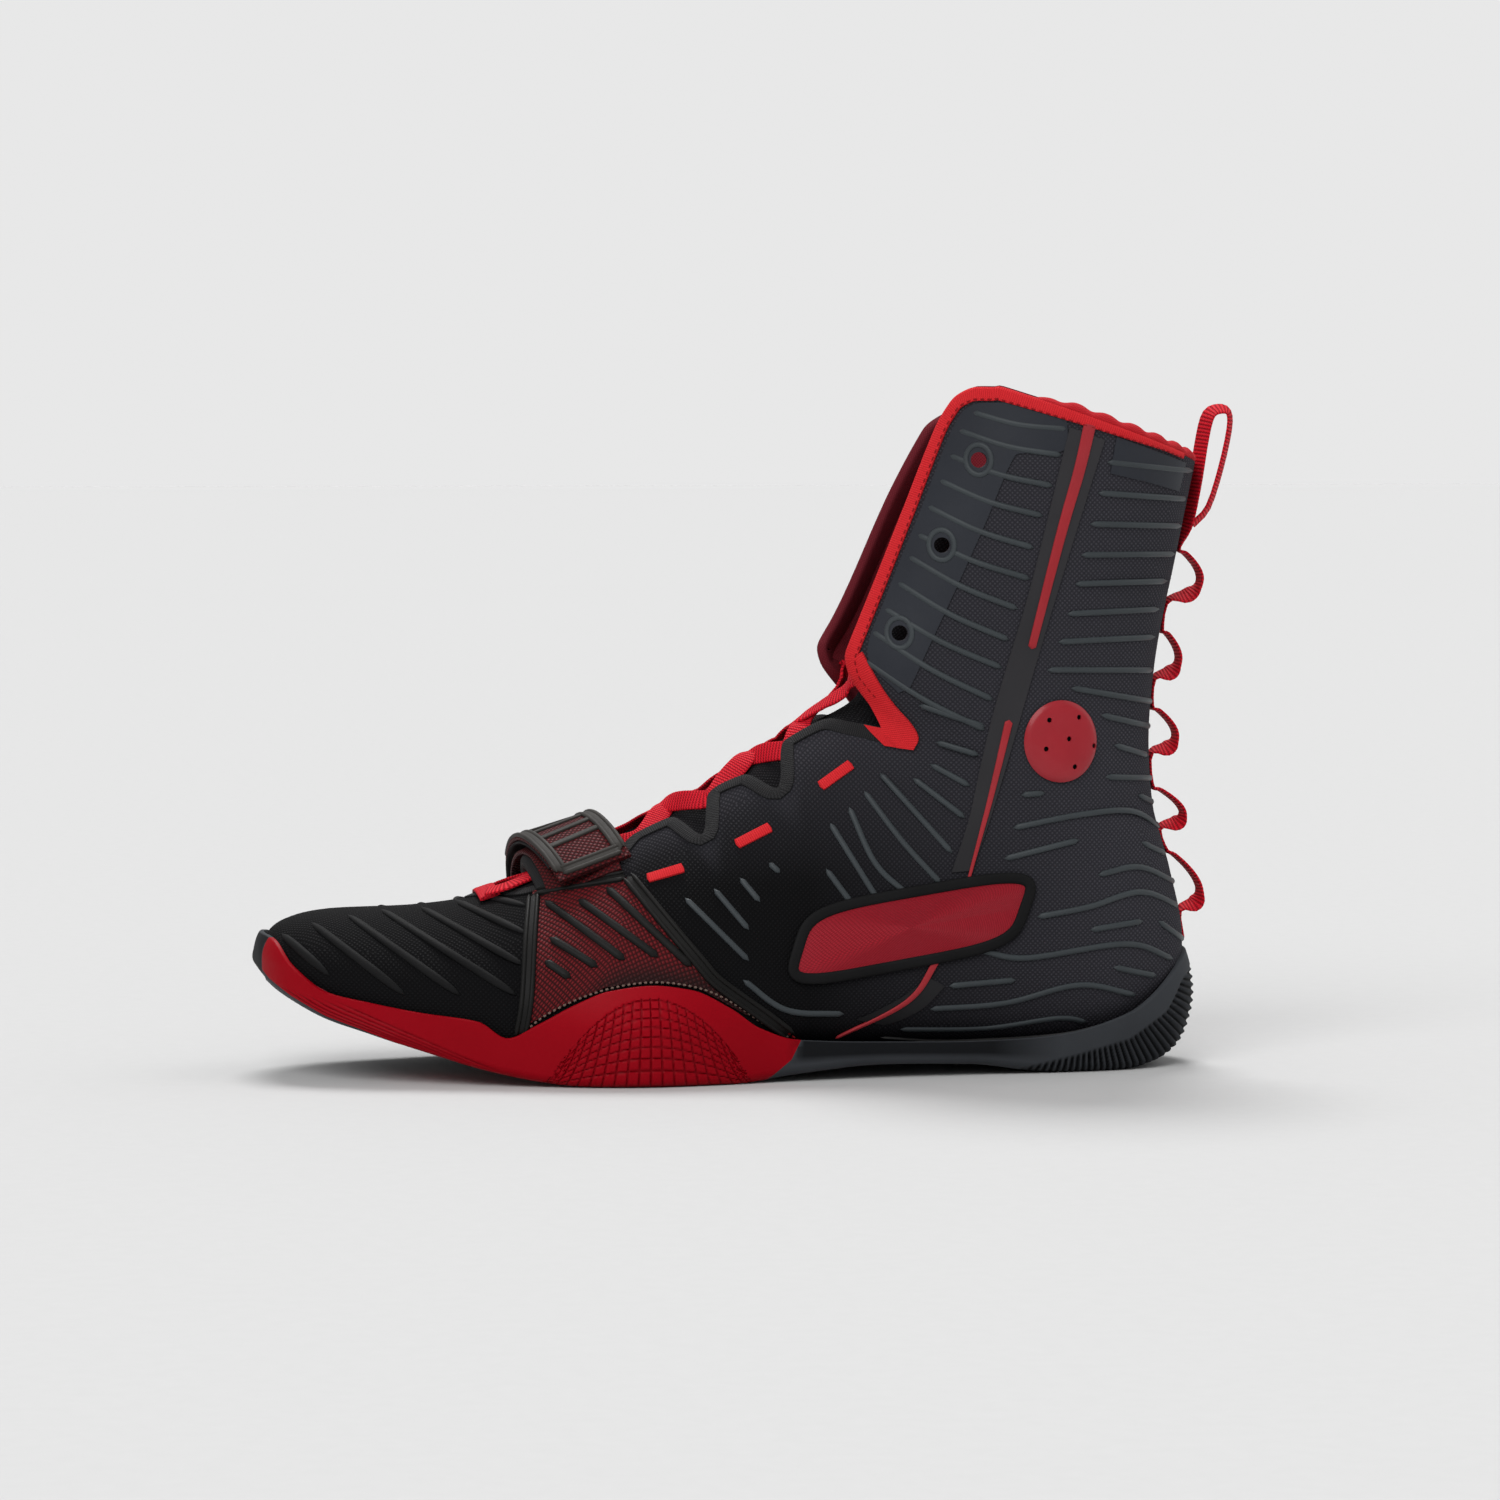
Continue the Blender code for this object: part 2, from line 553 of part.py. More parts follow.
def add_slabs(name, slabs):
    """Flat slabs, each along a line in plan with a width and two heights."""
    points = []
    faces = []
    for start, end, width, low, high in slabs:
        start = np.array(start)
        end = np.array(end)
        along = unit(end - start)
        aside = np.array((-along[1], along[0])) * width / 2
        first = len(points)
        for z in (low, high):
            points += [(*place, z) for place in (start - aside, end - aside, end + aside, start + aside)]
        sides = [(side, (side + 1) % 4, (side + 1) % 4 + 4, side + 4) for side in range(4)]
        faces += [tuple(first + corner for corner in face) for face in [(0, 1, 2, 3), (4, 5, 6, 7), *sides]]
    return add_cutter(add_mesh(name, points, faces, None))


def add_heel_grooves(core):
    inner = 12.0
    slabs = []
    for angle in np.linspace(-1, 1, HEEL_GROOVES["count"]) * HEEL_GROOVES["half_fan"]:
        outward = np.array((math.cos(angle), math.sin(angle)))
        middle = np.array((HEEL_GROOVES["middle"], 0.0))
        top = HEEL_GROOVES["side_top"] + (HEEL_GROOVES["back_top"] - HEEL_GROOVES["side_top"]) * math.cos(angle)
        slabs.append((middle + inner * outward, middle + BEYOND_SOLE * outward, GROOVE_WIDTH, BELOW_FLOOR, top))
    grooves = add_slabs("heel_grooves", slabs)
    combine(grooves, core, "DIFFERENCE")
    return grooves


def add_outrigger_grooves(core):
    """Upright and level grooves of the grid."""
    def top(x):
        return OUTRIGGER_GRID["peak"] * (1 - ((x - OUTRIGGER["middle"]) / OUTRIGGER_GRID["half_span"]) ** 2)

    inner = -21.0
    outer = -80.0
    columns = np.linspace(OUTRIGGER_GRID["first"], OUTRIGGER_GRID["last"], OUTRIGGER_GRID["columns"])
    upright = [((x, inner), (x, outer), GROOVE_WIDTH, BELOW_FLOOR, top(x)) for x in columns]
    level = []
    for z in OUTRIGGER_GRID["rows"]:
        half = OUTRIGGER_GRID["half_span"] * math.sqrt(1 - z / OUTRIGGER_GRID["peak"])
        middle = (inner + outer) / 2
        level.append(((OUTRIGGER["middle"] - half, middle), (OUTRIGGER["middle"] + half, middle),
                      inner - outer + GROOVE_WIDTH, z - GROOVE_WIDTH / 2, z + GROOVE_WIDTH / 2))
    grooves = add_slabs("outrigger_grooves", upright)
    combine(grooves, add_slabs("outrigger_rows", level), "UNION")
    combine(grooves, core, "DIFFERENCE")
    return grooves


def add_soles(red_rubber, black_rubber):
    band = add_sole_band()
    foot = add_cutter(add_last_form("foot_space", FOOT_GAP))
    sidewall = add_last_form("forefoot_sidewall", GAP + SOLE_WALL, stretch_sole)
    outsole = add_last_form("outsole", GAP + SOLE_WALL, stretch_sole)
    for piece, rubber in ((sidewall, red_rubber), (outsole, black_rubber)):
        piece.data.materials.append(rubber)
        combine(piece, band, "INTERSECT")
        combine(piece, foot, "DIFFERENCE")
    combine(sidewall, add_sidewall_space("sidewall_space", 0.0), "INTERSECT")
    combine(outsole, add_sidewall_space("sidewall_room", GAP), "DIFFERENCE")
    core = add_cutter(add_last_form("groove_core", GAP + SOLE_WALL - GROOVE_DEPTH, stretch_sole))
    combine(outsole, add_heel_grooves(core), "DIFFERENCE")
    combine(sidewall, add_outrigger_grooves(core), "DIFFERENCE")


def add_insole(material):
    """Sock liner: the space inside the wall, up to a face parallel to the foot's bed."""
    insole = add_last_form("insole", -(WALL + GAP))
    insole.data.materials.append(material)
    bed = LAST_ROWS[int(STATION["nose"]):int(STATION["heel_seat"]) + 1]
    bed_x = bed[:, LAST_COLUMNS.index("base_x")]
    bed_z = bed[:, LAST_COLUMNS.index("base_z")]
    x = np.concatenate(((0.0,), bed_x, (300.0,)))
    top = np.interp(x, bed_x, bed_z) + WALL + GAP + INSOLE_THICKNESS
    below = -30.0
    rings = [[(px, -BEYOND_SOLE, below), (px, BEYOND_SOLE, below), (px, BEYOND_SOLE, pz), (px, -BEYOND_SOLE, pz)]
             for px, pz in zip(x, top)]
    combine(insole, add_cutter(add_sweep("insole_space", np.array(rings), None)), "INTERSECT")


# Pieces on and in the upper

def add_tongue(material):
    table = dict(zip(TONGUE_COLUMNS, TONGUE.T))
    station = table["station"][:, None]
    turn = np.linspace(-TONGUE_TURN, TONGUE_TURN, 7)[None, :]
    depth = np.broadcast_to(table["depth"][:, None], (len(TONGUE), turn.size))
    outer = last_point(station, turn, -depth)
    inner = last_point(station, turn, -depth - TONGUE_THICKNESS)
    add_wall("tongue", outer, inner, grid_faces(*depth.shape), material)


def add_eyelet_cutter(length=60.0, sides=12):
    """Round bars that cut each flap's eyelets."""
    angle = np.arange(sides) * 2 * math.pi / sides
    work = bmesh.new()
    for x, z in EYELETS.values():
        ends = []
        for y in (-length, length):
            ring = np.stack((x + EYELET_RADIUS * np.cos(angle), np.full(sides, y), z + EYELET_RADIUS * np.sin(angle)),
                            axis=-1)
            ends.append([work.verts.new(place) for place in to_scene(ring)])
        work.faces.new(ends[0])
        work.faces.new(ends[1])
        for side in range(sides):
            after = (side + 1) % sides
            work.faces.new((ends[0][side], ends[0][after], ends[1][after], ends[1][side]))
    bmesh.ops.recalc_face_normals(work, faces=work.faces)
    mesh = bpy.data.meshes.new("eyelet_bars")
    work.to_mesh(mesh)
    work.free()
    bars = bpy.data.objects.new("eyelet_bars", mesh)
    bpy.context.collection.objects.link(bars)
    return add_cutter(bars)


def along_line(points, count):
    """Points spread evenly along a line of the side view."""
    points = np.asarray(points, float)
    way = np.concatenate(((0.0,), np.cumsum(np.linalg.norm(np.diff(points, axis=0), axis=1))))
    spread = np.linspace(0, way[-1], count)
    return np.stack([np.interp(spread, way, points[:, axis]) for axis in (0, 1)], axis=-1)


def add_overlay(name, side, places, material):
    """Thin layer over the upper, from a grid of places in the side view."""
    outer = on_side(places, side, OVERLAY_GAP + OVERLAY_THICKNESS)
    inner = on_side(places, side, OVERLAY_GAP)
    return add_wall(name, outer, inner, grid_faces(*places.shape[:2]), material)


def between_lines(first, second, rows, columns):
    part = np.linspace(0, 1, columns)[None, :, None]
    return along_line(first, rows)[:, None] * (1 - part) + along_line(second, rows)[:, None] * part


def rounded_patch(shape, rise, spokes, rings=2):
    """Grid of a rounded shape in the side view, from its middle out."""
    angle = np.linspace(0, 2 * math.pi, spokes + 1)
    power = 2.0 / shape["power"]
    u = np.sign(np.cos(angle)) * np.abs(np.cos(angle)) ** power * shape["half"][0]
    v = np.sign(np.sin(angle)) * np.abs(np.sin(angle)) ** power * shape["half"][1]
    u = u + shape["lean"] * v
    rim = np.stack((u * math.cos(rise) - v * math.sin(rise), u * math.sin(rise) + v * math.cos(rise)), axis=-1)
    out = np.linspace(0, 1, rings + 1)[:, None, None]
    return np.asarray(shape["middle"]) + out * rim[None]


def add_binding(material):
    """Tape folded over the edge of both flaps and the collar."""
    knots, _ = throat_knots()
    rows = wall_stations()
    start = knots[list(THROAT_EDGE).index("notch")] + BINDING_START
    rows = np.concatenate(((start,), rows[rows > start]))
    collar_turns = side_turns(rows[-1:], throat_turn(rows[-1:]))[0, FREE_COLUMNS:]
    station = np.concatenate((rows, np.full(len(collar_turns), COLLAR)))
    turn = np.concatenate((throat_turn(rows), collar_turns))
    station = np.concatenate((station, station[-2::-1]))
    turn = np.concatenate((-turn, turn[-2::-1]))
    edge = last_point(station, turn)
    facing = last_normal(station, turn)
    along = unit(np.gradient(edge, axis=0))
    inward = unit(np.cross(along, facing))
    out = BINDING_GAP + BINDING_THICKNESS
    end_gap = BINDING_GAP + BINDING_FLARE
    end_out = out + BINDING_FLARE
    profile = ((BINDING_WIDTH, end_gap), (BINDING_WIDTH, end_out), (-out, out), (-out, -WALL - out),
               (BINDING_WIDTH, -WALL - end_out), (BINDING_WIDTH, -WALL - end_gap),
               (-BINDING_GAP, -WALL - BINDING_GAP), (-BINDING_GAP, BINDING_GAP))
    rings = np.stack([edge + inward * deep + facing * lift for deep, lift in profile], axis=1)
    add_sweep("collar_binding", rings, material)


def smooth_path(rows, count):
    """Station, turn and lift along a smooth line through a path's rows."""
    padded = np.vstack((2 * rows[0] - rows[1], rows, 2 * rows[-1] - rows[-2]))
    place = np.linspace(0, len(rows) - 1, count)
    low = np.minimum(np.floor(place).astype(int), len(rows) - 2)
    part = (place - low)[:, None]
    before, first, second, after = (padded[low + step] for step in range(4))
    bend = 2 * before - 5 * first + 4 * second - after
    twist = 3 * (first - second) + after - before
    values = first + 0.5 * part * (second - before + part * (bend + part * twist))
    path = dict(zip(PATH_COLUMNS, values.T))
    return path["station"], np.radians(path["turn_degrees"]), path["lift"]


def add_band(name, rows, count, width, thickness, material):
    """Band lying across the foot along a path."""
    station, turn, lift = smooth_path(rows, count)
    centres = last_point(station, turn, lift)
    across = last_form(station + 0.1, turn) - last_form(station - 0.1, turn)
    return add_ribbon(name, centres, across, width, thickness, material)


def add_lace(material):
    """Two strands that cross, and the bar that they start from."""
    def strand(name, rows, count, mirror, raised, cloth):
        station, turn, lift = smooth_path(rows, count)
        centres = last_point(station, turn * mirror, lift + raised)
        facing = last_normal(station, turn * mirror)
        along = np.gradient(centres, axis=0)
        return add_ribbon(name, centres, np.cross(facing, along), LACE_WIDTH, LACE_THICKNESS, cloth)

    front_station, _, front_lift = LACE[0]
    bar = np.array([(front_station, degrees, front_lift) for degrees in LACE_BAR_TURNS])
    lace = strand("lace", LACE, 2 * len(LACE), 1, 0.0, material)
    combine(lace, add_cutter(strand("lace_second", LACE, 2 * len(LACE), -1, LACE_RISE, None)), "UNION")
    combine(lace, add_cutter(strand("lace_bar", bar, len(bar), 1, LACE_RISE / 2, None)), "UNION")


def add_ring(material):
    """Wire ring that the strap turns back through."""
    station = np.array(RING["station"])
    turn = np.array(RING["turn"])
    middle = last_point(station, turn, RING["lift"])
    facing = last_normal(station, turn)
    long_way = unit(last_form(station + 0.1, turn) - last_form(station - 0.1, turn))
    long_way = unit(long_way - np.dot(long_way, facing) * facing)
    short_way = np.cross(facing, long_way)
    angle = np.arange(RING["path_points"]) * 2 * math.pi / RING["path_points"]
    power = 2.0 / RING["power"]
    u = np.sign(np.cos(angle)) * np.abs(np.cos(angle)) ** power * RING["half"][0]
    v = np.sign(np.sin(angle)) * np.abs(np.sin(angle)) ** power * RING["half"][1]
    path = middle + u[:, None] * long_way + v[:, None] * short_way
    along = unit(np.roll(path, -1, axis=0) - np.roll(path, 1, axis=0))
    outward = np.cross(along, facing)
    around = np.arange(RING["wire_sides"]) * 2 * math.pi / RING["wire_sides"]
    rings = path[:, None] + RING["wire"] * (np.cos(around)[None, :, None] * outward[:, None]
                                            + np.sin(around)[None, :, None] * facing)
    add_sweep("strap_ring", rings, material, closed=True)


def add_heel_tape(material):
    """Tape up the heel seam, sewn down between its loops, with the pull loop at the collar."""
    station = np.linspace(STATION["heel_curve"], COLLAR, 60)
    back = last_point(station, np.full(60, math.pi), GAP + HEEL_TAPE_THICKNESS / 2)
    route = [(HEEL_TAPE_START, 0.0)]
    for row in HEEL_LOOPS:
        loop = dict(zip(HEEL_LOOP_COLUMNS, row))
        for part in np.linspace(0, 1, 7):
            height = loop["from_z"] + (loop["to_z"] - loop["from_z"]) * part
            route.append((height, loop["reach"] * math.sin(math.pi * part) ** 0.8))
    line = [(np.interp(z, back[:, 2], back[:, 0]) + out, z) for z, out in route]
    line = np.array(line + list(PULL_LOOP))
    centres = np.stack((line[:, 0], np.zeros(len(line)), line[:, 1]), axis=-1)
    across = np.broadcast_to((0.0, 1.0, 0.0), centres.shape)
    add_ribbon("heel_webbing", centres, across, HEEL_TAPE_WIDTH, HEEL_TAPE_THICKNESS, material)


def main():
    clear_scene()
    black_rubber = make_material("black_rubber", (0.02, 0.023, 0.028), 0.6)
    red_rubber = make_material("red_rubber", (0.52, 0.012, 0.02), 0.5)
    black_mesh = make_material("black_mesh", (0.008, 0.008, 0.009), 0.85)
    slate_film = make_material("slate_film", (0.023, 0.028, 0.031), 0.5)
    red_film = make_material("red_film", (0.38, 0.015, 0.022), 0.45)
    red_tape = make_material("red_tape", (0.6, 0.01, 0.015), 0.75)
    red_cloth = make_material("red_cloth", (0.25, 0.01, 0.015), 0.9)
    black_plastic = make_material("black_plastic", (0.012, 0.012, 0.013), 0.4)
    upper = add_upper(black_mesh)
    add_soles(red_rubber, black_rubber)
    add_insole(red_cloth)
    add_tongue(black_mesh)
    eyelet_bars = add_eyelet_cutter()
    combine(upper, eyelet_bars, "DIFFERENCE")
    for side, side_name in ((-1, "lateral"), (1, "medial")):
        eyestay = add_overlay("eyestay_" + side_name, side, between_lines(EYESTAY_FRONT, EYESTAY_BACK, 9, 4),
                              slate_film)
        combine(eyestay, eyelet_bars, "DIFFERENCE")
        add_overlay("ankle_pod_" + side_name, side, rounded_patch(POD, 0.0, 16), red_film)
        add_overlay("side_panel_" + side_name, side, rounded_patch(SIDE_PANEL, SIDE_PANEL_RISE, 20), red_film)
        add_overlay("ankle_tape_" + side_name, side, between_lines(*TAPE_HIGH, 14, 3), slate_film)
        add_overlay("arch_tape_" + side_name, side, between_lines(*TAPE_LOW, 5, 3), slate_film)
    add_binding(red_tape)
    add_overlay("strap_panel", -1, between_lines(STRAP_PANEL_UPPER, STRAP_PANEL_LOWER, 10, 7), red_tape)
    add_band("strap", STRAP, 36, STRAP_WIDTH, STRAP_THICKNESS, red_tape)
    add_band("ring_tab", RING_TAB, 22, RING_TAB_WIDTH, RING_TAB_THICKNESS, red_tape)
    add_ring(black_plastic)
    add_lace(red_tape)
    add_heel_tape(red_tape)


main()
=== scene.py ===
import math

import bpy
import numpy as np
from mathutils import Matrix, Vector
from mathutils.bvhtree import BVHTree


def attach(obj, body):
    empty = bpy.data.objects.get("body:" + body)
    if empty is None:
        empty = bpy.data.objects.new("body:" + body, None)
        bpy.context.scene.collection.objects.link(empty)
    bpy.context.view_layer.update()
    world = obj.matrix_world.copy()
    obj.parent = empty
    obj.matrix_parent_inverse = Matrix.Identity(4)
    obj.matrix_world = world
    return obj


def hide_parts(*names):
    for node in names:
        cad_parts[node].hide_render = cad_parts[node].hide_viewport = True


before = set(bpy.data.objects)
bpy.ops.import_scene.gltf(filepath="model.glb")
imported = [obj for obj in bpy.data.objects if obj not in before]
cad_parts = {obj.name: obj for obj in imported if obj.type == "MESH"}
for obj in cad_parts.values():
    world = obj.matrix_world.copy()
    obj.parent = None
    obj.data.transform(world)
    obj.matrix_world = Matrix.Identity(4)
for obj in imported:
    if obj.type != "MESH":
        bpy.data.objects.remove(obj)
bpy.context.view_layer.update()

bpy.ops.object.select_all(action="DESELECT")

# Sizes are in mm from the toe tip, as in the solids; toScene turns them into the frame's metres.
mm = 0.001
toeToOrigin = 153.0
fullTurn = 2 * math.pi
outer, inner = -1, 1  # sides of the shoe: outer faces the camera
sideNames = {outer: "lateral", inner: "medial"}


def toScene(points):
    return (np.asarray(points, float) - (toeToOrigin, 0.0, 0.0)) * mm


# Camera, and the rays through its pixels
cameraSet = {"azimuth": -8.0, "elevation": 3.5, "distance": 1800.0, "target": (153.7, 0.0, 98.45),
             "mmPerPixel": 0.31, "imageSide": 1500, "sensor": 36.0}
azimuth = math.radians(cameraSet["azimuth"])
elevation = math.radians(cameraSet["elevation"])
cameraBack = np.array((math.sin(azimuth) * math.cos(elevation), -math.cos(azimuth) * math.cos(elevation),
                       math.sin(elevation)))
cameraRight = np.array((math.cos(azimuth), math.sin(azimuth), 0.0))
cameraUp = np.cross(cameraBack, cameraRight)
cameraPlace = np.array(cameraSet["target"]) + cameraSet["distance"] * cameraBack
focalPixels = cameraSet["distance"] / cameraSet["mmPerPixel"]


def addCamera():
    data = bpy.data.cameras.new("photoCamera")
    data.sensor_width = cameraSet["sensor"]
    data.lens = cameraSet["sensor"] * focalPixels / cameraSet["imageSide"]
    camera = bpy.data.objects.new("photoCamera", data)
    bpy.context.collection.objects.link(camera)
    turn = Matrix((cameraRight, cameraUp, cameraBack)).transposed()
    camera.matrix_world = Matrix.Translation(toScene(cameraPlace)) @ turn.to_4x4()
    bpy.context.scene.camera = camera


addCamera()
print("camera set")

# The last: sections from toe to collar, each between a ridge point and a base point of the side view
lastColumns = ("ridgeX", "ridgeZ", "baseX", "baseZ", "lateral", "medial", "shift", "widest", "crown",
               "flank")
lastSections = {
    "tip": (2.0, 36.0, 2.0, 36.0, 0.0, 0.0, 8.0, 0.60, 2.0, 2.0),
    "nose": (4.2, 42.3, 5.6, 29.3, 15.5, 13.5, 8.0, 0.62, 2.0, 2.2),
    "toeCap": (10.0, 47.0, 14.5, 24.0, 27.0, 22.0, 8.0, 0.66, 2.0, 2.5),
    "toeBox": (23.0, 50.0, 30.0, 17.5, 37.0, 30.0, 7.6, 0.70, 2.0, 2.7),
    "toes": (51.0, 51.2, 61.0, 9.5, 46.5, 37.5, 6.5, 0.74, 2.0, 3.0),
    "vampPoint": (71.0, 54.6, 85.0, 5.6, 51.5, 41.0, 5.5, 0.76, 2.0, 3.1),
    "ball": (94.0, 64.8, 110.0, 4.6, 53.5, 43.0, 4.5, 0.77, 1.95, 3.2),
    "instepLow": (117.0, 77.0, 138.0, 4.6, 51.5, 40.0, 3.5, 0.77, 1.9, 3.1),
    "waist": (139.0, 89.0, 169.0, 6.2, 46.5, 34.5, 3.0, 0.75, 1.85, 3.0),
    "instep": (158.0, 100.8, 203.0, 6.8, 41.5, 32.5, 2.0, 0.70, 1.9, 2.8),
    "throat": (172.0, 110.0, 240.0, 5.2, 38.0, 33.5, 1.0, 0.66, 1.95, 2.6),
    "heelSeat": (176.8, 113.8, 269.0, 6.4, 36.5, 34.5, 0.5, 0.62, 2.0, 2.5),
    "heelCurve": (178.6, 117.0, 286.0, 18.5, 36.0, 34.5, 0.0, 0.58, 2.0, 2.4),
    "counter": (178.3, 120.0, 289.6, 39.0, 35.5, 34.5, 0.0, 0.55, 2.0, 2.3),
    "ankleLow": (176.5, 123.5, 285.8, 60.0, 35.5, 35.0, 0.0, 0.53, 2.0, 2.2),
    "ankle": (174.4, 127.5, 280.6, 80.0, 35.5, 35.5, 0.0, 0.52, 2.0, 2.1),
    "ankleHigh": (174.0, 132.5, 279.2, 98.0, 35.5, 35.5, 0.0, 0.50, 2.0, 2.0),
    "shaftLow": (177.0, 140.5, 279.8, 114.0, 35.5, 35.5, 0.0, 0.50, 2.0, 2.0),
    "shaft": (184.3, 157.5, 282.0, 132.0, 36.0, 36.0, 0.0, 0.50, 2.0, 2.0),
    "shaftHigh": (193.6, 179.5, 286.4, 153.5, 37.0, 37.0, 0.0, 0.50, 2.0, 2.0),
    "collar": (209.5, 216.0, 293.2, 187.2, 39.0, 39.0, 0.0, 0.50, 2.0, 2.0),
}
lastRows = np.array(list(lastSections.values()))
soleBase = lastRows[1:12, 2:4].T  # the last's underside in the side view, x and z
collarStation = len(lastRows) - 1.0
solveSet = {"stationSteps": 32, "photoSteps": 9, "firstY": -30.0, "normalStep": 0.02, "alongStep": 0.1,
            "fine": 12, "tiny": 1e-6}


def unit(vectors):
    return vectors / np.maximum(np.linalg.norm(vectors, axis=-1, keepdims=True), 1e-9)


def squareTo(vectors, along):
    # unit vectors with what lies along a run taken out
    return unit(vectors - np.sum(vectors * along, axis=-1, keepdims=True) * along)


def wayAlong(points):
    steps = np.linalg.norm(np.diff(points, axis=0), axis=-1)
    return np.concatenate((np.zeros_like(steps[:1]), np.cumsum(steps, axis=0)))


def rowsAt(place, way, values):
    # a table's columns at places along a way
    return np.stack([np.interp(place, way, column) for column in values.T], axis=-1)


def smoothThrough(rows, place):
    # smooth curve through the rows of a table, at places counted in rows
    padded = np.vstack((2 * rows[0] - rows[1], rows, 2 * rows[-1] - rows[-2]))
    low = np.clip(np.floor(place).astype(int), 0, len(rows) - 2)
    part = (place - low)[..., None]
    before, first, second, after = (padded[low + step] for step in range(4))
    bend = 2 * before - 5 * first + 4 * second - after
    twist = 3 * (first - second) + after - before
    return first + 0.5 * part * (second - before + part * (bend + part * twist))


def smoothBetween(x, knots, values):
    # smooth line through knots that never passes beyond them
    span = np.diff(knots)
    slope = np.diff(values) / span
    tangent = np.zeros_like(values)
    sameWay = slope[1:] * slope[:-1] > 0
    tangent[1:-1][sameWay] = 2 / (1 / slope[1:][sameWay] + 1 / slope[:-1][sameWay])
    low = np.clip(np.searchsorted(knots, x) - 1, 0, len(knots) - 2)
    part = np.clip((x - knots[low]) / span[low], 0, 1)
    rest = 1 - part
    return (values[low] * rest ** 2 * (1 + 2 * part) + values[low + 1] * part ** 2 * (3 - 2 * part)
            + span[low] * part * rest * (rest * tangent[low] - part * tangent[low + 1]))


def spread(points, count):
    # points evenly along a line, straight between its corners
    points = np.asarray(points, float)
    way = wayAlong(points)
    return rowsAt(np.linspace(0, way[-1], count), way, points)


def spreadSmooth(points, count):
    # points evenly along a smooth line through its corners
    points = np.asarray(points, float)
    fine = np.linspace(0, len(points) - 1, solveSet["fine"] * len(points))
    return spread(smoothThrough(points, fine), count)


def lastValues(station):
    return dict(zip(lastColumns, np.moveaxis(smoothThrough(lastRows, station), -1, 0)))


def lastForm(station, turn):
    row = lastValues(station)
    turn = (turn + math.pi) % fullTurn - math.pi
    above = np.abs(turn) <= math.pi / 2
    power = 2.0 / np.where(above, row["crown"], row["flank"])
    level = np.abs(np.cos(turn)) ** power
    along = np.where(above, row["widest"] * (1 - level), row["widest"] + (1 - row["widest"]) * level)
    reach = np.abs(np.sin(turn)) ** power
    side = np.where(turn < 0, -row["lateral"], row["medial"])
    x = row["ridgeX"] + (row["baseX"] - row["ridgeX"]) * along
    z = row["ridgeZ"] + (row["baseZ"] - row["ridgeZ"]) * along
    return np.stack((x, row["shift"] + side * reach, z), axis=-1)


def lastAlong(station, turn):
    # way from section to section of the last
    step = solveSet["alongStep"]
    return lastForm(station + step, turn) - lastForm(station - step, turn)


def lastNormal(station, turn):
    station, turn = np.broadcast_arrays(np.asarray(station, float), np.asarray(turn, float))
    step = solveSet["normalStep"]
    ahead = lastForm(np.minimum(station + step, collarStation), turn)
    behind = lastForm(np.maximum(station - step, 0.0), turn)
    around = lastForm(station, turn + step) - lastForm(station, turn - step)
    normal = unit(np.cross(around, ahead - behind))
    row = lastValues(station)
    middle = np.stack(((row["ridgeX"] + row["baseX"]) / 2, row["shift"],
                       (row["ridgeZ"] + row["baseZ"]) / 2), axis=-1)
    outward = np.sum(normal * (lastForm(station, turn) - middle), axis=-1, keepdims=True)
    normal = np.where(outward < 0, -normal, normal)
    return np.where((station < solveSet["tiny"])[..., None], np.array((-1.0, 0.0, 0.0)), normal)


def lastPoint(station, turn, lift=0.0):
    station, turn = np.broadcast_arrays(np.asarray(station, float), np.asarray(turn, float))
    return lastForm(station, turn) + lastNormal(station, turn) * np.asarray(lift, float)[..., None]


def turnAt(station, along):
    row = lastValues(station)
    widest = row["widest"]
    high = np.clip(1 - along / widest, 0, 1) ** (row["crown"] / 2)
    low = np.clip((along - widest) / (1 - widest), 0, 1) ** (row["flank"] / 2)
    return np.where(along <= widest, np.arccos(high), math.pi - np.arccos(low))


def fromRidge(station, x, z):
    # a section's run from ridge to base, and the run from its ridge to a point of the side view
    row = lastValues(station)
    return (row["baseX"] - row["ridgeX"], row["baseZ"] - row["ridgeZ"], x - row["ridgeX"], z - row["ridgeZ"])


def stationAndTurn(x, z):
    # station and turn of points given in the side view
    low = np.zeros_like(x)
    high = np.full_like(x, collarStation)
    for _ in range(solveSet["stationSteps"]):
        middle = (low + high) / 2
        runX, runZ, awayX, awayZ = fromRidge(middle, x, z)
        beyond = runX * awayZ - runZ * awayX > 0
        low = np.where(beyond, middle, low)
        high = np.where(beyond, high, middle)
    runX, runZ, awayX, awayZ = fromRidge(low, x, z)
    along = (awayX * runX + awayZ * runZ) / (runX ** 2 + runZ ** 2)
    return low, turnAt(low, np.clip(along, 0, 1))


def photoPlace(pixels):
    # station and turn of the upper's outer side where photo pixels fall
    pixels = np.asarray(pixels, float)
    half = cameraSet["imageSide"] / 2
    ray = (cameraRight * (pixels[..., :1] - half) + cameraUp * (half - pixels[..., 1:])
           - cameraBack * focalPixels)
    y = np.full(pixels.shape[:-1], solveSet["firstY"])
    for _ in range(solveSet["photoSteps"]):
        place = cameraPlace + ray * ((y - cameraPlace[1]) / ray[..., 1])[..., None]
        station, turn = stationAndTurn(place[..., 0], place[..., 2])
        y = lastForm(station, -turn)[..., 1]
    return station, turn


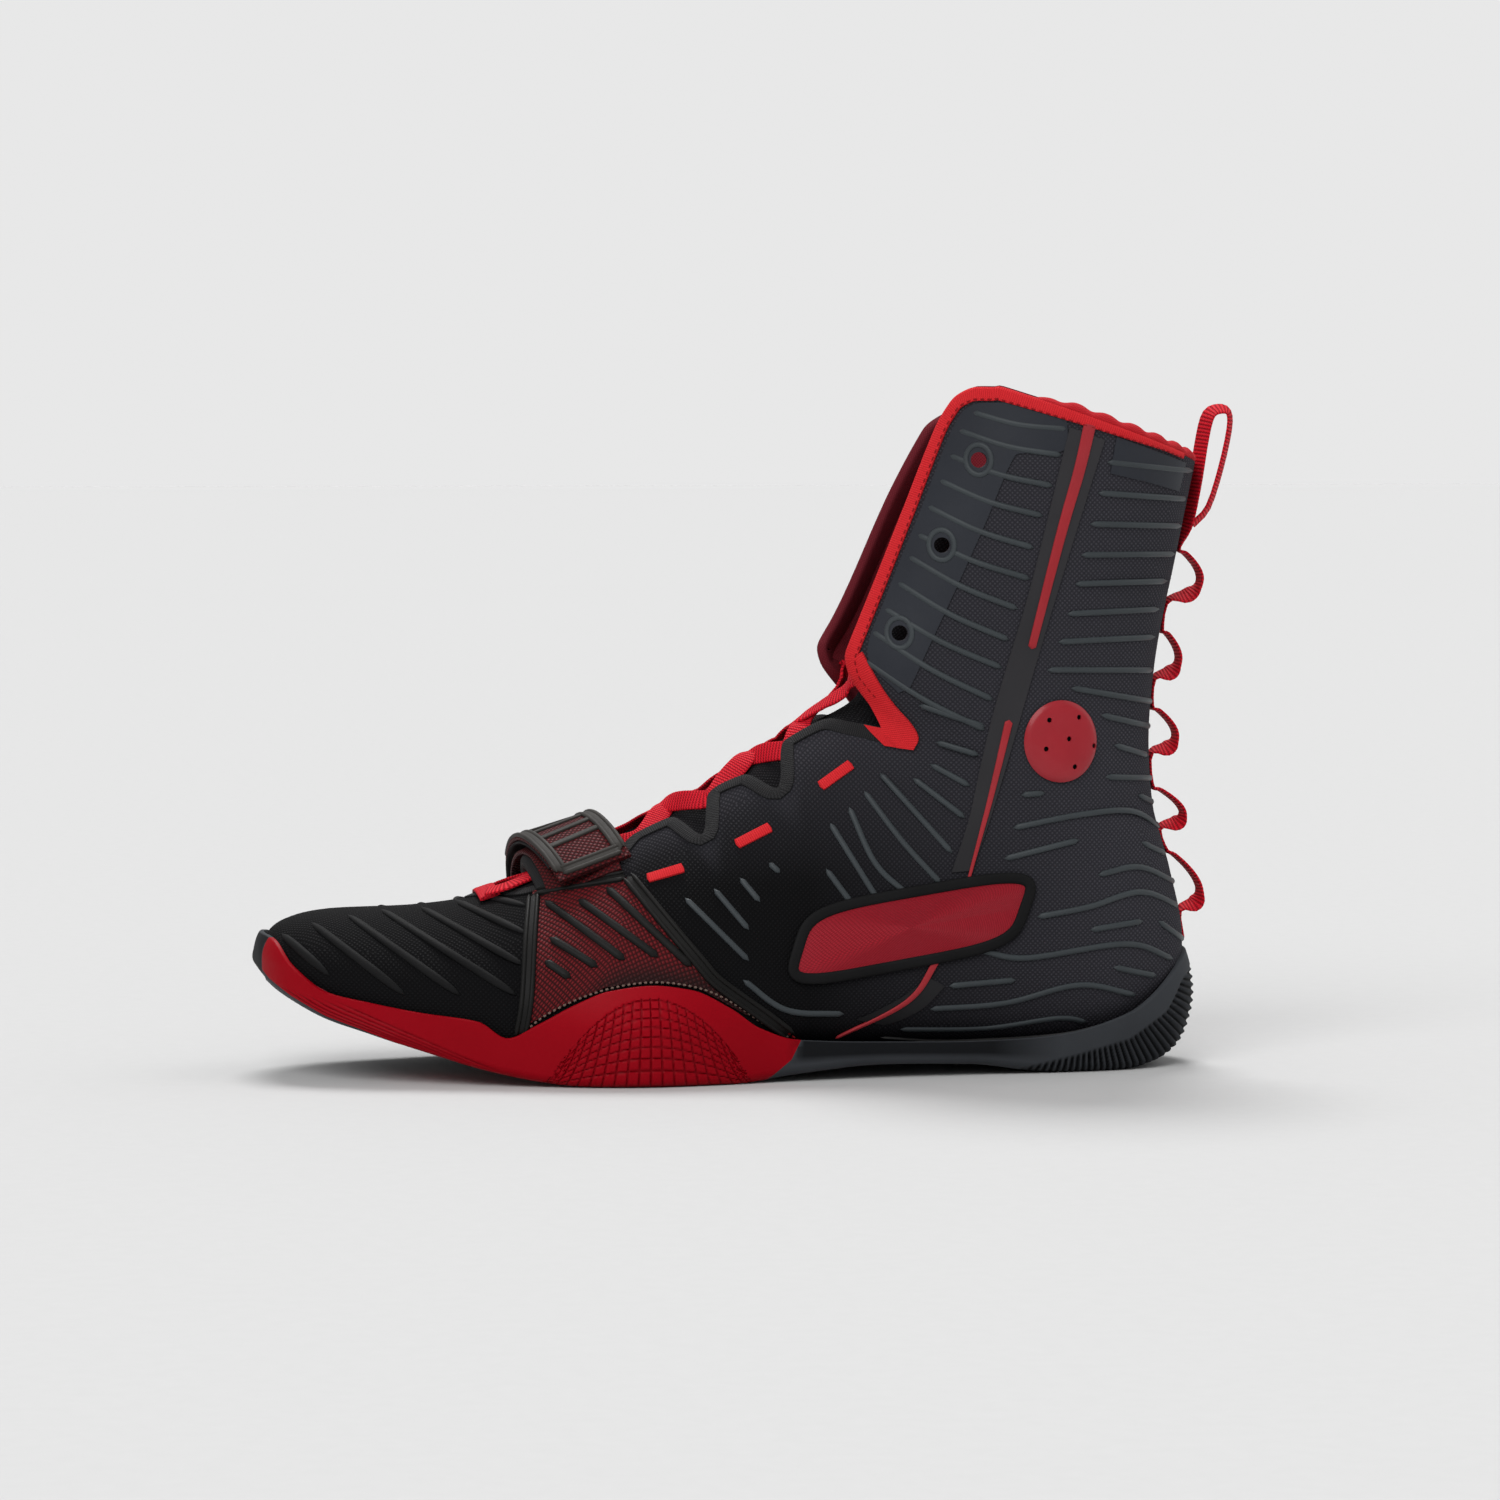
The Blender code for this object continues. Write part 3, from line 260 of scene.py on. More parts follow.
# Mesh helpers
uvPerMm = 0.01  # a piece's UV map counts in tenths of a metre
leastTaper = 0.08  # what is left of a strip's width at its very end
mergeSeams = (bpy.ops.mesh.remove_doubles, {"threshold": 2e-6})
clearSlivers = (bpy.ops.mesh.dissolve_degenerate, {"threshold": 1e-7})
faceOutwards = (bpy.ops.mesh.normals_make_consistent, {"inside": False})


def pick(piece):
    bpy.ops.object.select_all(action="DESELECT")
    piece.select_set(True)
    bpy.context.view_layer.objects.active = piece


def addPiece(operator, name, **settings):
    # a new primitive, with nothing else selected
    bpy.ops.object.select_all(action="DESELECT")
    operator(**settings)
    piece = bpy.context.active_object
    piece.name = piece.data.name = name
    return piece


def readAll(items, key, wide=1, kind=float):
    # one value, or a row of values, for every item of a mesh
    values = np.empty(wide * len(items), kind)
    items.foreach_get(key, values)
    return values.reshape(-1, wide) if wide > 1 else values


def pointsOf(piece):
    return readAll(piece.data.vertices, "co", 3) / mm + (toeToOrigin, 0.0, 0.0)


def gridPiece(name, points, facing=None):
    # a grid primitive laid on rows and columns of points, its UV map in real lengths
    points = np.asarray(points, float)
    if facing is not None:
        normal = np.cross(np.gradient(points, axis=1), np.gradient(points, axis=0))
        if np.sum(normal * facing) < 0:
            points = points[:, ::-1]
    rows, columns = points.shape[:2]
    piece = addPiece(bpy.ops.mesh.primitive_grid_add, name, x_subdivisions=columns - 1,
                     y_subdivisions=rows - 1, size=1.0)
    mesh = piece.data
    mesh.vertices.foreach_set("co", toScene(points).ravel())
    across = np.moveaxis(wayAlong(np.moveaxis(points, 1, 0)), 0, 1)
    across = across - across[:, columns // 2][:, None]
    along = np.broadcast_to(wayAlong(points).mean(axis=1)[:, None], across.shape)
    corners = readAll(mesh.loops, "vertex_index", kind=int)
    uv = np.stack((across, along), axis=-1).reshape(-1, 2)[corners] * uvPerMm
    mesh.uv_layers[0].data.foreach_set("uv", uv.ravel())
    mesh.update()
    return piece


def boxUv(piece):
    # lay the UV map from the side, the back or above, by where each face looks
    mesh = piece.data
    looks = np.abs(readAll(mesh.polygons, "normal", 3)).argmax(axis=1)
    looks = np.repeat(looks, readAll(mesh.polygons, "loop_total", kind=int))
    corners = readAll(mesh.loops, "vertex_index", kind=int)
    places = readAll(mesh.vertices, "co", 3)[corners] / mm * uvPerMm
    across = np.where(looks == 0, places[:, 1], places[:, 0])
    up = np.where(looks == 2, places[:, 1], places[:, 2])
    mesh.uv_layers[0].data.foreach_set("uv", np.stack((across, up), axis=-1).ravel())


def markDarkToneAndShade(piece, values):
    # how far each point takes on its finish's darker colour: its own darker tone on most pieces, painted
    # shade on the sole and on the flap lining's rim
    marks = np.broadcast_to(np.asarray(values, float).ravel(), len(piece.data.vertices))
    piece.data.attributes.new("relief", "FLOAT", "POINT").data.foreach_set("value", marks.copy())


def editAll(piece, *steps):
    # run mesh operators on the whole of a piece
    pick(piece)
    bpy.ops.object.mode_set(mode="EDIT")
    bpy.ops.mesh.select_all(action="SELECT")
    for step, settings in steps:
        step(**settings)
    bpy.ops.object.mode_set(mode="OBJECT")
    return piece


def deleteFaces(piece, chosen):
    # delete the faces marked in a list as long as the piece's faces
    pick(piece)
    bpy.ops.object.mode_set(mode="EDIT")
    bpy.ops.mesh.select_mode(type="FACE")
    bpy.ops.mesh.select_all(action="DESELECT")
    bpy.ops.object.mode_set(mode="OBJECT")
    piece.data.polygons.foreach_set("select", chosen)
    bpy.ops.object.mode_set(mode="EDIT")
    bpy.ops.mesh.delete(type="FACE")
    bpy.ops.mesh.select_mode(type="VERT")
    bpy.ops.object.mode_set(mode="OBJECT")


def closeUp(piece):
    # merge seams and poles, then turn all faces outwards
    return editAll(piece, mergeSeams, clearSlivers, faceOutwards)


def closedPiece(name, grid):
    return closeUp(gridPiece(name, grid))


def applyModifier(piece, kind, **settings):
    pick(piece)
    change = piece.modifiers.new(kind, kind)
    for key, value in settings.items():
        setattr(change, key, value)
    bpy.ops.object.modifier_apply(modifier=change.name)
    return piece


def thicken(piece, thickness, lining=0):
    return applyModifier(piece, "SOLIDIFY", thickness=thickness * mm, offset=-1.0, material_offset=lining)


def cut(piece, tool, operation="DIFFERENCE"):
    return applyModifier(piece, "BOOLEAN", operation=operation, solver="EXACT", object=tool)


def drop(piece):
    mesh = piece.data
    bpy.data.objects.remove(piece, do_unlink=True)
    bpy.data.meshes.remove(mesh)


def joinPieces(name, pieces):
    bpy.ops.object.select_all(action="DESELECT")
    for piece in pieces:
        piece.select_set(True)
    bpy.context.view_layer.objects.active = pieces[0]
    if len(pieces) > 1:
        bpy.ops.object.join()
    whole = bpy.context.view_layer.objects.active
    whole.name = whole.data.name = name
    return whole


def makeBars(name, places, turns, radius, length, sides):
    # round bars for cutting holes
    bars = []
    for place, turn in zip(places, turns):
        bar = addPiece(bpy.ops.mesh.primitive_cylinder_add, name, vertices=sides, radius=radius * mm,
                       depth=length * mm, location=toScene(place), rotation=turn)
        bpy.ops.object.transform_apply(location=True, rotation=True, scale=True)
        bars.append(bar)
    return joinPieces(name, bars)


def dress(piece, finish, slot, *nodes, sharp=40):
    # finish, smooth shading and the solids that the piece stands for; slot is not used
    if finish is not None:
        piece.data.materials.append(finishes[finish])
    pick(piece)
    bpy.ops.object.shade_smooth_by_angle(angle=math.radians(sharp))
    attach(piece, "root")
    if nodes:
        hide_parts(*nodes)


def roundedLoop(angle, power):
    # cosine and sine of a loop that is squarer the smaller its power
    return [np.sign(wave) * np.abs(wave) ** power for wave in (np.cos(angle), np.sin(angle))]


def ringGrid(centres, first, second, sides, squareness=1.0, ends=True):
    # closed tube of oval rings: first and second are the rings' half axes, ends drawn to a point
    across, over = roundedLoop(np.linspace(0, fullTurn, sides + 1), squareness)
    rings = centres[:, None] + first[:, None] * across[None, :, None] + second[:, None] * over[None, :, None]
    if ends:
        first, last = (np.broadcast_to(centres[end, None], rings[0].shape)[None] for end in (0, -1))
        rings = np.concatenate((first, rings, last))
    return rings


def loopGrid(centres, normals, halfWidth, halfHeight, sides, squareness=1.0):
    # tube along a closed line, whose last point is its first
    along = unit(np.roll(centres[:-1], -1, axis=0) - np.roll(centres[:-1], 1, axis=0))
    aside = unit(np.cross(normals, np.vstack((along, along[:1]))))
    return ringGrid(centres, aside * halfWidth, normals * halfHeight, sides, squareness, ends=False)


def stripGrid(centres, normals, width, height, sink, sides=10, squareness=1.0, blunt=1.2, offset=0.0):
    # raised strip lying on a surface: rounded or flat on top, sunk below it, with rounded ends
    along = unit(np.gradient(centres, axis=0))
    aside = unit(np.cross(normals, along))
    way = wayAlong(centres)
    nearEnd = np.minimum(way, way[-1] - way) / blunt
    taper = np.maximum(np.sqrt(1 - np.clip(1 - nearEnd, 0, 1) ** 2), leastTaper)[:, None]
    width = np.broadcast_to(np.asarray(width, float), way.shape)[:, None]
    middle = centres + normals * (height - sink) / 2 + aside * offset
    return ringGrid(middle, aside * width / 2 * taper, normals * (height + sink) / 2 * taper, sides,
                    squareness)


def ribbonGrid(centres, across, width, thickness, sides, squareness):
    along = unit(np.gradient(centres, axis=0))
    across = squareTo(across, along)
    facing = np.cross(across, along)
    return ringGrid(centres, across * width / 2, facing * thickness / 2, sides, squareness)


def capped(rings):
    # rings with a middle point added before the first and after the last
    first, last = (np.broadcast_to(rings[end].mean(axis=0), rings[end].shape)[None] for end in (0, -1))
    return np.concatenate((first, rings, last))


def photoLines(lines, spacing):
    # lines of photo pixels, spread evenly and laid on the outer side; gives station and turn of each
    laid = []
    for line in lines:
        line = np.asarray(line, float)
        count = max(6, int(wayAlong(line)[-1] * cameraSet["mmPerPixel"] / spacing) + 2)
        laid.append(spreadSmooth(line, count) if len(line) > 2 else spread(line, count))
    station, turn = photoPlace(np.concatenate(laid))
    ends = np.cumsum([len(line) for line in laid])[:-1]
    return list(zip(np.split(station, ends), np.split(turn, ends)))


def photoStrips(name, lines, side, strip, spacing=1.6):
    # raised strips along lines of photo pixels, on the outer side or mirrored on the inner one
    pieces = []
    form = {key: value for key, value in strip.items() if key not in ("lift", "width")}
    for number, (station, turn) in enumerate(photoLines(lines, spacing)):
        turn = sideTurn(station, turn, side)
        centres = lastPoint(station, turn, strip.get("lift", 0.0))
        width = strip["width"]
        if isinstance(width, tuple):
            width = np.linspace(*width[number], len(station))
        pieces.append(gridPiece(name, stripGrid(centres, lastNormal(station, turn), width, **form)))
    return closeUp(joinPieces(name, pieces))


def onSide(points, side, lift):
    points = np.asarray(points, float)
    station, turn = stationAndTurn(points[..., 0], points[..., 1])
    turn = sideTurn(station, turn, side)
    return lastPoint(station, turn, lift), lastNormal(station, turn)


def overlay(name, places, side, lift, thickness):
    # thin layer on the upper, from a grid of places in the side view
    return thicken(editAll(gridPiece(name, *onSide(places, side, lift)), mergeSeams), thickness)


def betweenLines(first, second, rows, columns, smooth=True):
    line = spreadSmooth if smooth else spread
    part = np.linspace(0, 1, columns)[None, :, None]
    return line(first, rows)[:, None] * (1 - part) + line(second, rows)[:, None] * part


def roundedPatch(shape, spokes, rings):
    # rings of places in the side view, from the middle of a rounded outline to its rim
    u, v = roundedLoop(np.linspace(0, fullTurn, spokes + 1), 2.0 / shape["power"])
    u, v = u * shape["half"][0], v * shape["half"][1]
    u = u + shape["lean"] * v
    rise = math.radians(shape["rise"])
    rim = np.stack((u * math.cos(rise) - v * math.sin(rise),
                    u * math.sin(rise) + v * math.cos(rise)), axis=-1)
    out = np.linspace(0, 1, rings + 1)[:, None, None]
    return np.asarray(shape["middle"]) + out * rim[None]


# Finishes
patternSet = {"wobble": 35.0, "shake": 1.6, "sway": 0.7, "yarn": 0.15, "dustSize": 40.0, "dustDetail": 5.0,
              "dustRough": 0.65, "dustFrom": 0.45, "dustTo": 0.8, "bump": 0.8}
patternInputs = ("Across", "Along", "Tightness")
patternOutputs = ("Loop", "Height")


def addNode(tree, kind, inputs=None, **values):
    node = tree.nodes.new(kind)
    for key, value in values.items():
        setattr(node, key, value)
    for key, value in (inputs or {}).items():
        if isinstance(value, bpy.types.NodeSocket):
            tree.links.new(value, node.inputs[key])
        else:
            node.inputs[key].default_value = value
    return node


def mathNode(tree, operation, *values):
    return addNode(tree, "ShaderNodeMath", dict(enumerate(values)), operation=operation).outputs[0]


def noiseNode(tree, place, scale, detail, rough=0.5):
    inputs = {"Vector": place, "Scale": scale, "Detail": detail, "Roughness": rough}
    return addNode(tree, "ShaderNodeTexNoise", inputs).outputs[0]


def mixNode(tree, share, first, second):
    # colour between two, either of them a socket or a colour
    first, second = (value if isinstance(value, bpy.types.NodeSocket) else (*value, 1.0)
                     for value in (first, second))
    return addNode(tree, "ShaderNodeMix", {"Factor": share, 6: first, 7: second}, data_type="RGBA").outputs[2]


def newGroup(name, inputs, outputs):
    # shader group that reads a place and numbers, and puts out numbers
    tree = bpy.data.node_groups.new(name, "ShaderNodeTree")
    tree.interface.new_socket("Place", in_out="INPUT", socket_type="NodeSocketVector")
    for sockets, way in ((inputs, "INPUT"), (outputs, "OUTPUT")):
        for socket in sockets:
            tree.interface.new_socket(socket, in_out=way, socket_type="NodeSocketFloat")
    return tree, tree.nodes.new("NodeGroupInput").outputs, tree.nodes.new("NodeGroupOutput").inputs


def makeKnitGroup():
    # staggered rows of loops, as in a warp-knitted mesh
    tree, given, result = newGroup("knitLoops", patternInputs, patternOutputs)
    parts = addNode(tree, "ShaderNodeSeparateXYZ", {0: given["Place"]}).outputs
    wobble = noiseNode(tree, given["Place"], patternSet["wobble"], 1.0)
    shake = mathNode(tree, "MULTIPLY", mathNode(tree, "SUBTRACT", wobble, 0.5), patternSet["shake"])
    waves = []
    for part, count in ((parts[0], given["Across"]), (parts[1], given["Along"])):
        turns = mathNode(tree, "ADD", mathNode(tree, "MULTIPLY", part, count), shake)
        waves.append(mathNode(tree, "COSINE", turns))
    both = mathNode(tree, "MULTIPLY", mathNode(tree, "ADD", *waves), 0.5)
    loop = mathNode(tree, "POWER", mathNode(tree, "ABSOLUTE", both), given["Tightness"])
    for socket in patternOutputs:
        tree.links.new(loop, result[socket])
    return tree


def makeWebbingGroup():
    # ribs across a tape with fine yarns along it
    tree, given, result = newGroup("tapeWeave", patternInputs, patternOutputs)
    parts = addNode(tree, "ShaderNodeSeparateXYZ", {0: given["Place"]}).outputs
    yarns = mathNode(tree, "COSINE", mathNode(tree, "MULTIPLY", parts[0], given["Across"]))
    shifted = mathNode(tree, "ADD", mathNode(tree, "MULTIPLY", parts[1], given["Along"]),
                       mathNode(tree, "MULTIPLY", yarns, patternSet["sway"]))
    ribs = mathNode(tree, "MULTIPLY_ADD", mathNode(tree, "COSINE", shifted), 0.5, 0.5)
    rounded = mathNode(tree, "POWER", ribs, given["Tightness"])
    height = mathNode(tree, "ADD", rounded, mathNode(tree, "MULTIPLY", yarns, patternSet["yarn"]))
    tree.links.new(rounded, result["Loop"])
    tree.links.new(height, result["Height"])
    return tree


def makeGrainGroup():
    # fine moulded grain with a broader unevenness
    tree, given, result = newGroup("mouldedGrain", patternInputs, patternOutputs)
    fine = noiseNode(tree, given["Place"], given["Across"], 3.0)
    broad = noiseNode(tree, given["Place"], given["Along"], 2.0)
    tree.links.new(mathNode(tree, "POWER", broad, given["Tightness"]), result["Loop"])
    tree.links.new(fine, result["Height"])
    return tree


def makeDustGroup():
    # pale dust and handling marks in soft patches
    tree, given, result = newGroup("dustMarks", ("Size",), ("Dust",))
    patches = noiseNode(tree, given["Place"], given["Size"], patternSet["dustDetail"],
                        patternSet["dustRough"])
    soft = addNode(tree, "ShaderNodeMapRange", {0: patches, 1: patternSet["dustFrom"],
                                                2: patternSet["dustTo"]})
    tree.links.new(soft.outputs[0], result["Dust"])
    return tree


patternGroups = {"knit": makeKnitGroup(), "webbing": makeWebbingGroup(), "grain": makeGrainGroup()}
dustGroup = makeDustGroup()
turnsPerMm = fullTurn / uvPerMm  # a pattern's count for a pitch of 1 mm on the UV map

# low and high are the colours in the hollows and on the loops; a weave's pitch is across and along, in mm,
# and a grain's is its two noise scales; the column before coat is the darker colour where a piece's relief is
# marked:
# its own darker tone on most pieces, painted shade on the sole and on the flap lining's rim
finishColumns = ("pattern", "low", "high", "pitch", "tightness", "rough", "bump", "specular", "dust",
                 "dustShare", "grooves", "coat")
finishRows = {
    "knitBlack": ("knit", (0.026, 0.0255, 0.031), (0.062, 0.06, 0.071), (1.5, 1.5), 2.0, (0.9, 0.6), 0.25,
                  0.07, (0.034, 0.033, 0.037), 0.2, (0.0022, 0.0021, 0.0022)),
    "clothBlack": ("webbing", (0.01, 0.01, 0.0105), (0.021, 0.0205, 0.0215), (0.9, 0.7), 1.0,
                   (0.85, 0.65), 0.1, 0.12, (0.022, 0.022, 0.023), 0.3),
    "ribSlate": ("grain", (0.032, 0.038, 0.042), (0.05, 0.059, 0.064), (900.0, 60.0), 1.2, (0.5, 0.4), 0.04,
                 0.2, (0.055, 0.06, 0.065), 0.25),
    "ribBlack": ("grain", (0.0045, 0.0045, 0.0047), (0.0095, 0.0095, 0.01), (1300.0, 60.0), 1.2,
                 (0.75, 0.6), 0.06, 0.1, (0.013, 0.013, 0.014), 0.25),
    "filmSlate": ("grain", (0.018, 0.02, 0.026), (0.029, 0.032, 0.04), (1100.0, 45.0), 1.0,
                  (0.55, 0.42), 0.04, 0.15, (0.036, 0.038, 0.043), 0.25),
    "tapeGrey": ("grain", (0.025, 0.0242, 0.027), (0.037, 0.0355, 0.039), (1100.0, 45.0), 1.0,
                 (0.65, 0.5), 0.04, 0.15, (0.036, 0.0345, 0.036), 0.25, (0.005, 0.005, 0.0053)),
    "tapeRed": ("webbing", (0.24, 0.0025, 0.009), (0.72, 0.009, 0.024), (0.9, 1.15), 0.7, (0.85, 0.62), 0.3,
                0.12, (0.62, 0.02, 0.035), 0.15),
    "bindingRed": ("webbing", (0.5, 0.012, 0.017), (0.68, 0.022, 0.028), (0.7, 0.7), 0.9, (0.85, 0.7), 0.1,
                   0.12, (0.68, 0.05, 0.055), 0.2),
    "liningRed": ("knit", (0.21, 0.022, 0.032), (0.33, 0.038, 0.055), (1.0, 1.0), 0.8, (0.95, 0.85), 0.1,
                  0.08, (0.26, 0.035, 0.046), 0.3, (0.05, 0.006, 0.009)),
    "rollRed": ("knit", (0.33, 0.006, 0.011), (0.58, 0.014, 0.022), (0.9, 0.9), 0.8, (0.9, 0.8), 0.1,
                0.15, (0.62, 0.05, 0.06), 0.25),
    "meshRed": ("knit", (0.018, 0.0008, 0.0015), (0.32, 0.006, 0.013), (1.9, 1.9), 1.1, (0.85, 0.45), 0.3,
                0.15, (0.26, 0.012, 0.02), 0.2, (0.012, 0.005, 0.005)),
    "panelRed": ("knit", (0.19, 0.004, 0.01), (0.38, 0.011, 0.024), (1.1, 1.1), 0.8, (0.55, 0.4), 0.12,
                 0.16, (0.3, 0.025, 0.04), 0.2),
    "filmRed": ("grain", (0.28, 0.016, 0.022), (0.38, 0.026, 0.034), (1200.0, 50.0), 1.0,
                (0.55, 0.42), 0.04, 0.15, (0.36, 0.06, 0.07), 0.25),
    "podRed": ("grain", (0.26, 0.009, 0.016), (0.38, 0.015, 0.025), (1000.0, 60.0), 1.0, (0.42, 0.32), 0.04,
               0.25, (0.38, 0.05, 0.06), 0.2, None, 0.1),
    "rubberRed": ("grain", (0.235, 0.001, 0.005), (0.33, 0.002, 0.009), (700.0, 30.0), 1.0,
                  (0.5, 0.36), 0.05, 0.05, (0.3, 0.01, 0.02), 0.08, (0.15, 0.001, 0.004)),
    "rubberBlack": ("grain", (0.034, 0.037, 0.042), (0.056, 0.06, 0.067), (700.0, 30.0), 1.0,
                    (0.62, 0.5), 0.05, 0.06, (0.024, 0.025, 0.028), 0.25, (0.0035, 0.0038, 0.0045)),
    "threadRed": ("webbing", (0.16, 0.002, 0.004), (0.34, 0.006, 0.01), (0.3, 0.5), 1.0, (0.8, 0.6), 0.05,
                  0.15, (0.3, 0.02, 0.03), 0.2),
    "threadPale": ("webbing", (0.1, 0.062, 0.05), (0.25, 0.18, 0.15), (0.3, 0.5), 1.0, (0.85, 0.7), 0.05,
                   0.2, (0.3, 0.2, 0.17), 0.3),
    "glueGrey": ("grain", (0.03, 0.03, 0.031), (0.1, 0.1, 0.1), (600.0, 90.0), 1.4, (0.45, 0.3), 0.04,
                 0.3, (0.14, 0.13, 0.12), 0.3),
    "rubberFrame": ("grain", (0.0045, 0.0044, 0.0042), (0.01, 0.0097, 0.0092), (900.0, 50.0), 1.0,
                    (0.6, 0.42), 0.05, 0.12, (0.02, 0.019, 0.018), 0.3),
    # the same black rubber, paler than the panel's frame, for the strap end's frame
    "rubberPaler": ("grain", (0.017, 0.0155, 0.014), (0.046, 0.042, 0.038), (900.0, 70.0), 1.0,
                   (0.65, 0.5), 0.05, 0.15, (0.06, 0.056, 0.05), 0.35),
    "plasticBlack": ("grain", (0.01, 0.01, 0.011), (0.018, 0.018, 0.019), (500.0, 60.0), 1.0,
                     (0.42, 0.3), 0.03, 0.4, (0.05, 0.05, 0.05), 0.25),
}


def newMaterial(name):
    material = bpy.data.materials.new(name)
    material.use_nodes = True
    return material, material.node_tree, material.node_tree.nodes["Principled BSDF"].inputs


def makeFinish(name):
    finish = dict(zip(finishColumns, finishRows[name]))
    material, tree, shader = newMaterial(name)
    place = tree.nodes.new("ShaderNodeTexCoord").outputs
    grainy = finish["pattern"] == "grain"
    counts = finish["pitch"] if grainy else [turnsPerMm / pitch for pitch in finish["pitch"]]
    given = {"Place": place["Object" if grainy else "UV"], "Across": counts[0], "Along": counts[1],
             "Tightness": finish["tightness"]}
    pattern = addNode(tree, "ShaderNodeGroup", given, node_tree=patternGroups[finish["pattern"]]).outputs
    tone = mixNode(tree, pattern["Loop"], finish["low"], finish["high"])
    dust = addNode(tree, "ShaderNodeGroup", {"Place": place["Object"], "Size": patternSet["dustSize"]},
                   node_tree=dustGroup)
    share = mathNode(tree, "MULTIPLY", dust.outputs["Dust"], finish["dustShare"])
    surface = mixNode(tree, share, tone, finish["dust"])
    # the darker colour where the relief attribute is marked: own darker tone, and painted shade on the sole
    # and the flap lining's rim
    if finish.get("grooves"):
        relief = addNode(tree, "ShaderNodeAttribute", attribute_name="relief")
        surface = mixNode(tree, relief.outputs["Fac"], surface, finish["grooves"])
    tree.links.new(surface, shader["Base Color"])
    rough = addNode(tree, "ShaderNodeMapRange", {0: pattern["Loop"], 3: finish["rough"][0],
                                                 4: finish["rough"][1]})
    tree.links.new(rough.outputs[0], shader["Roughness"])
    bump = addNode(tree, "ShaderNodeBump", {"Height": pattern["Height"], "Strength": patternSet["bump"],
                                            "Distance": finish["bump"] * mm})
    tree.links.new(bump.outputs[0], shader["Normal"])
    shader["Specular IOR Level"].default_value = finish["specular"]
    shader["Coat Weight"].default_value = finish.get("coat", 0.0)
    return material


finishes = {name: makeFinish(name) for name in finishRows}
print("finishes made:", len(finishes))

# Upper: one shell with its throat, lobes, notch and flaps
upperSet = {"wall": 1.8, "spacing": 1.9, "probe": 9, "sideColumns": 52, "underFrom": 1.0, "underTo": 11.7,
            "underTurn": math.radians(150), "eyeletRadius": 2.4, "ringRadius": 4.0, "barSides": 28,
            "barLength": 140.0}
# soft troughs where the shoe bends: two ends in the side view, depth and half width in mm
creaseLines = {"ankleFront": ((196.0, 112.0), (226.0, 95.0), 0.7, 4.5),
               "ankleLow": ((187.0, 93.0), (214.0, 76.0), 0.55, 4.0),
               "heelBend": ((250.0, 84.0), (280.0, 78.0), 0.5, 4.0),
               "shaftBack": ((256.0, 150.0), (280.0, 146.0), 0.45, 5.0),
               "ballBend": ((70.0, 46.0), (80.0, 24.0), 0.6, 4.5),
               "toeBend": ((52.0, 44.0), (64.0, 24.0), 0.4, 4.0)}
creaseEase = (0.1, 0.8)  # a trough's ends keep some depth
shadeSet = {"behind": 262.0, "over": 95.0, "below": 60.0, "fade": 60.0, "least": 0.34, "share": 0.94,
            "lobes": (6.5, 12.2), "atEdge": 0.35, "edgeOver": 0.16}
throatEdge = { "vampPoint": (69.0, 54.1), "underStrap": (84.0, 57.4), "strapEnd": (108.5, 67.0),
              "lobeOneFront": (117.0, 73.6), "lobeOneTop": (127.0, 78.2), "valleyOne": (135.7, 73.6),
              "lobeTwoFront": (141.0, 86.8), "lobeTwoTop": (150.0, 91.0), "valleyTwo": (159.5, 87.5),
              "lobeThreeFront": (164.2, 101.8), "lobeThreeTop": (172.5, 106.6), "notchLip": (186.0, 106.9),
              "notch": (191.8, 106.4), "flapFoot": (183.2, 121.4), "flapCorner": (181.3, 127.2),
              "flapFront": (182.6, 132.5), "flapEyeletLow": (188.0, 145.8), "flapMiddle": (199.0, 173.2),
              "flapShoulder": (208.8, 197.8), "flapRound": (213.4, 206.0), "flapTop": (219.0, 210.0),
              "flapPeak": (226.0, 210.3), }
eyelets = {"top": (219.9, 188.5), "middle": (208.8, 162.5), "low": (196.1, 135.6)}
throatPlaces = np.array(list(throatEdge.values()))
throatStations, throatTurns = stationAndTurn(*throatPlaces.T)
throatTurns[0] = 0.0
throatStations[-1] = collarStation
# the inner flap stands further forward at its foot and lower at its top, in degrees
innerShift = {"flapFoot": -9.5, "flapCorner": -10.0, "flapFront": -7.5, "flapEyeletLow": -3.0,
              "flapShoulder": 8.0, "flapRound": 18.0, "flapTop": 18.0, "flapPeak": 12.0}
shiftLimit = math.radians(80)  # turn at which the inner side is the outer one's mirror again
innerTurns = throatTurns + np.radians([innerShift.get(knot, 0.0) for knot in throatEdge])
throatKnot = dict(zip(throatEdge, throatStations))


def throatTurn(station, side=outer):
    turns = throatTurns if side == outer else innerTurns
    return np.where(station < throatStations[0], 0.0, smoothBetween(station, throatStations, turns))


def sideTurn(station, turn, side):
    # signed turn of a place on either side; on the inner one the flap's own edge carries it along
    if side == outer:
        return -turn
    edge = throatTurn(station)
    shift = throatTurn(station, inner) - edge
    return turn + shift * np.clip((shiftLimit - turn) / (shiftLimit - edge), 0, 1)


def upperStations():
    knots = np.unique(np.concatenate((np.arange(collarStation + 1), throatStations)))
    rows = []
    for low, high in zip(knots[:-1], knots[1:]):
        fine = np.linspace(low, high, upperSet["probe"])
        edges = (throatTurn(fine), np.full(len(fine), math.pi))
        longest = max(wayAlong(lastForm(fine, turn))[-1] for turn in edges)
        rows.append(np.linspace(low, high, max(1, math.ceil(longest / upperSet["spacing"])), endpoint=False))
    return np.concatenate((*rows, (collarStation,)))


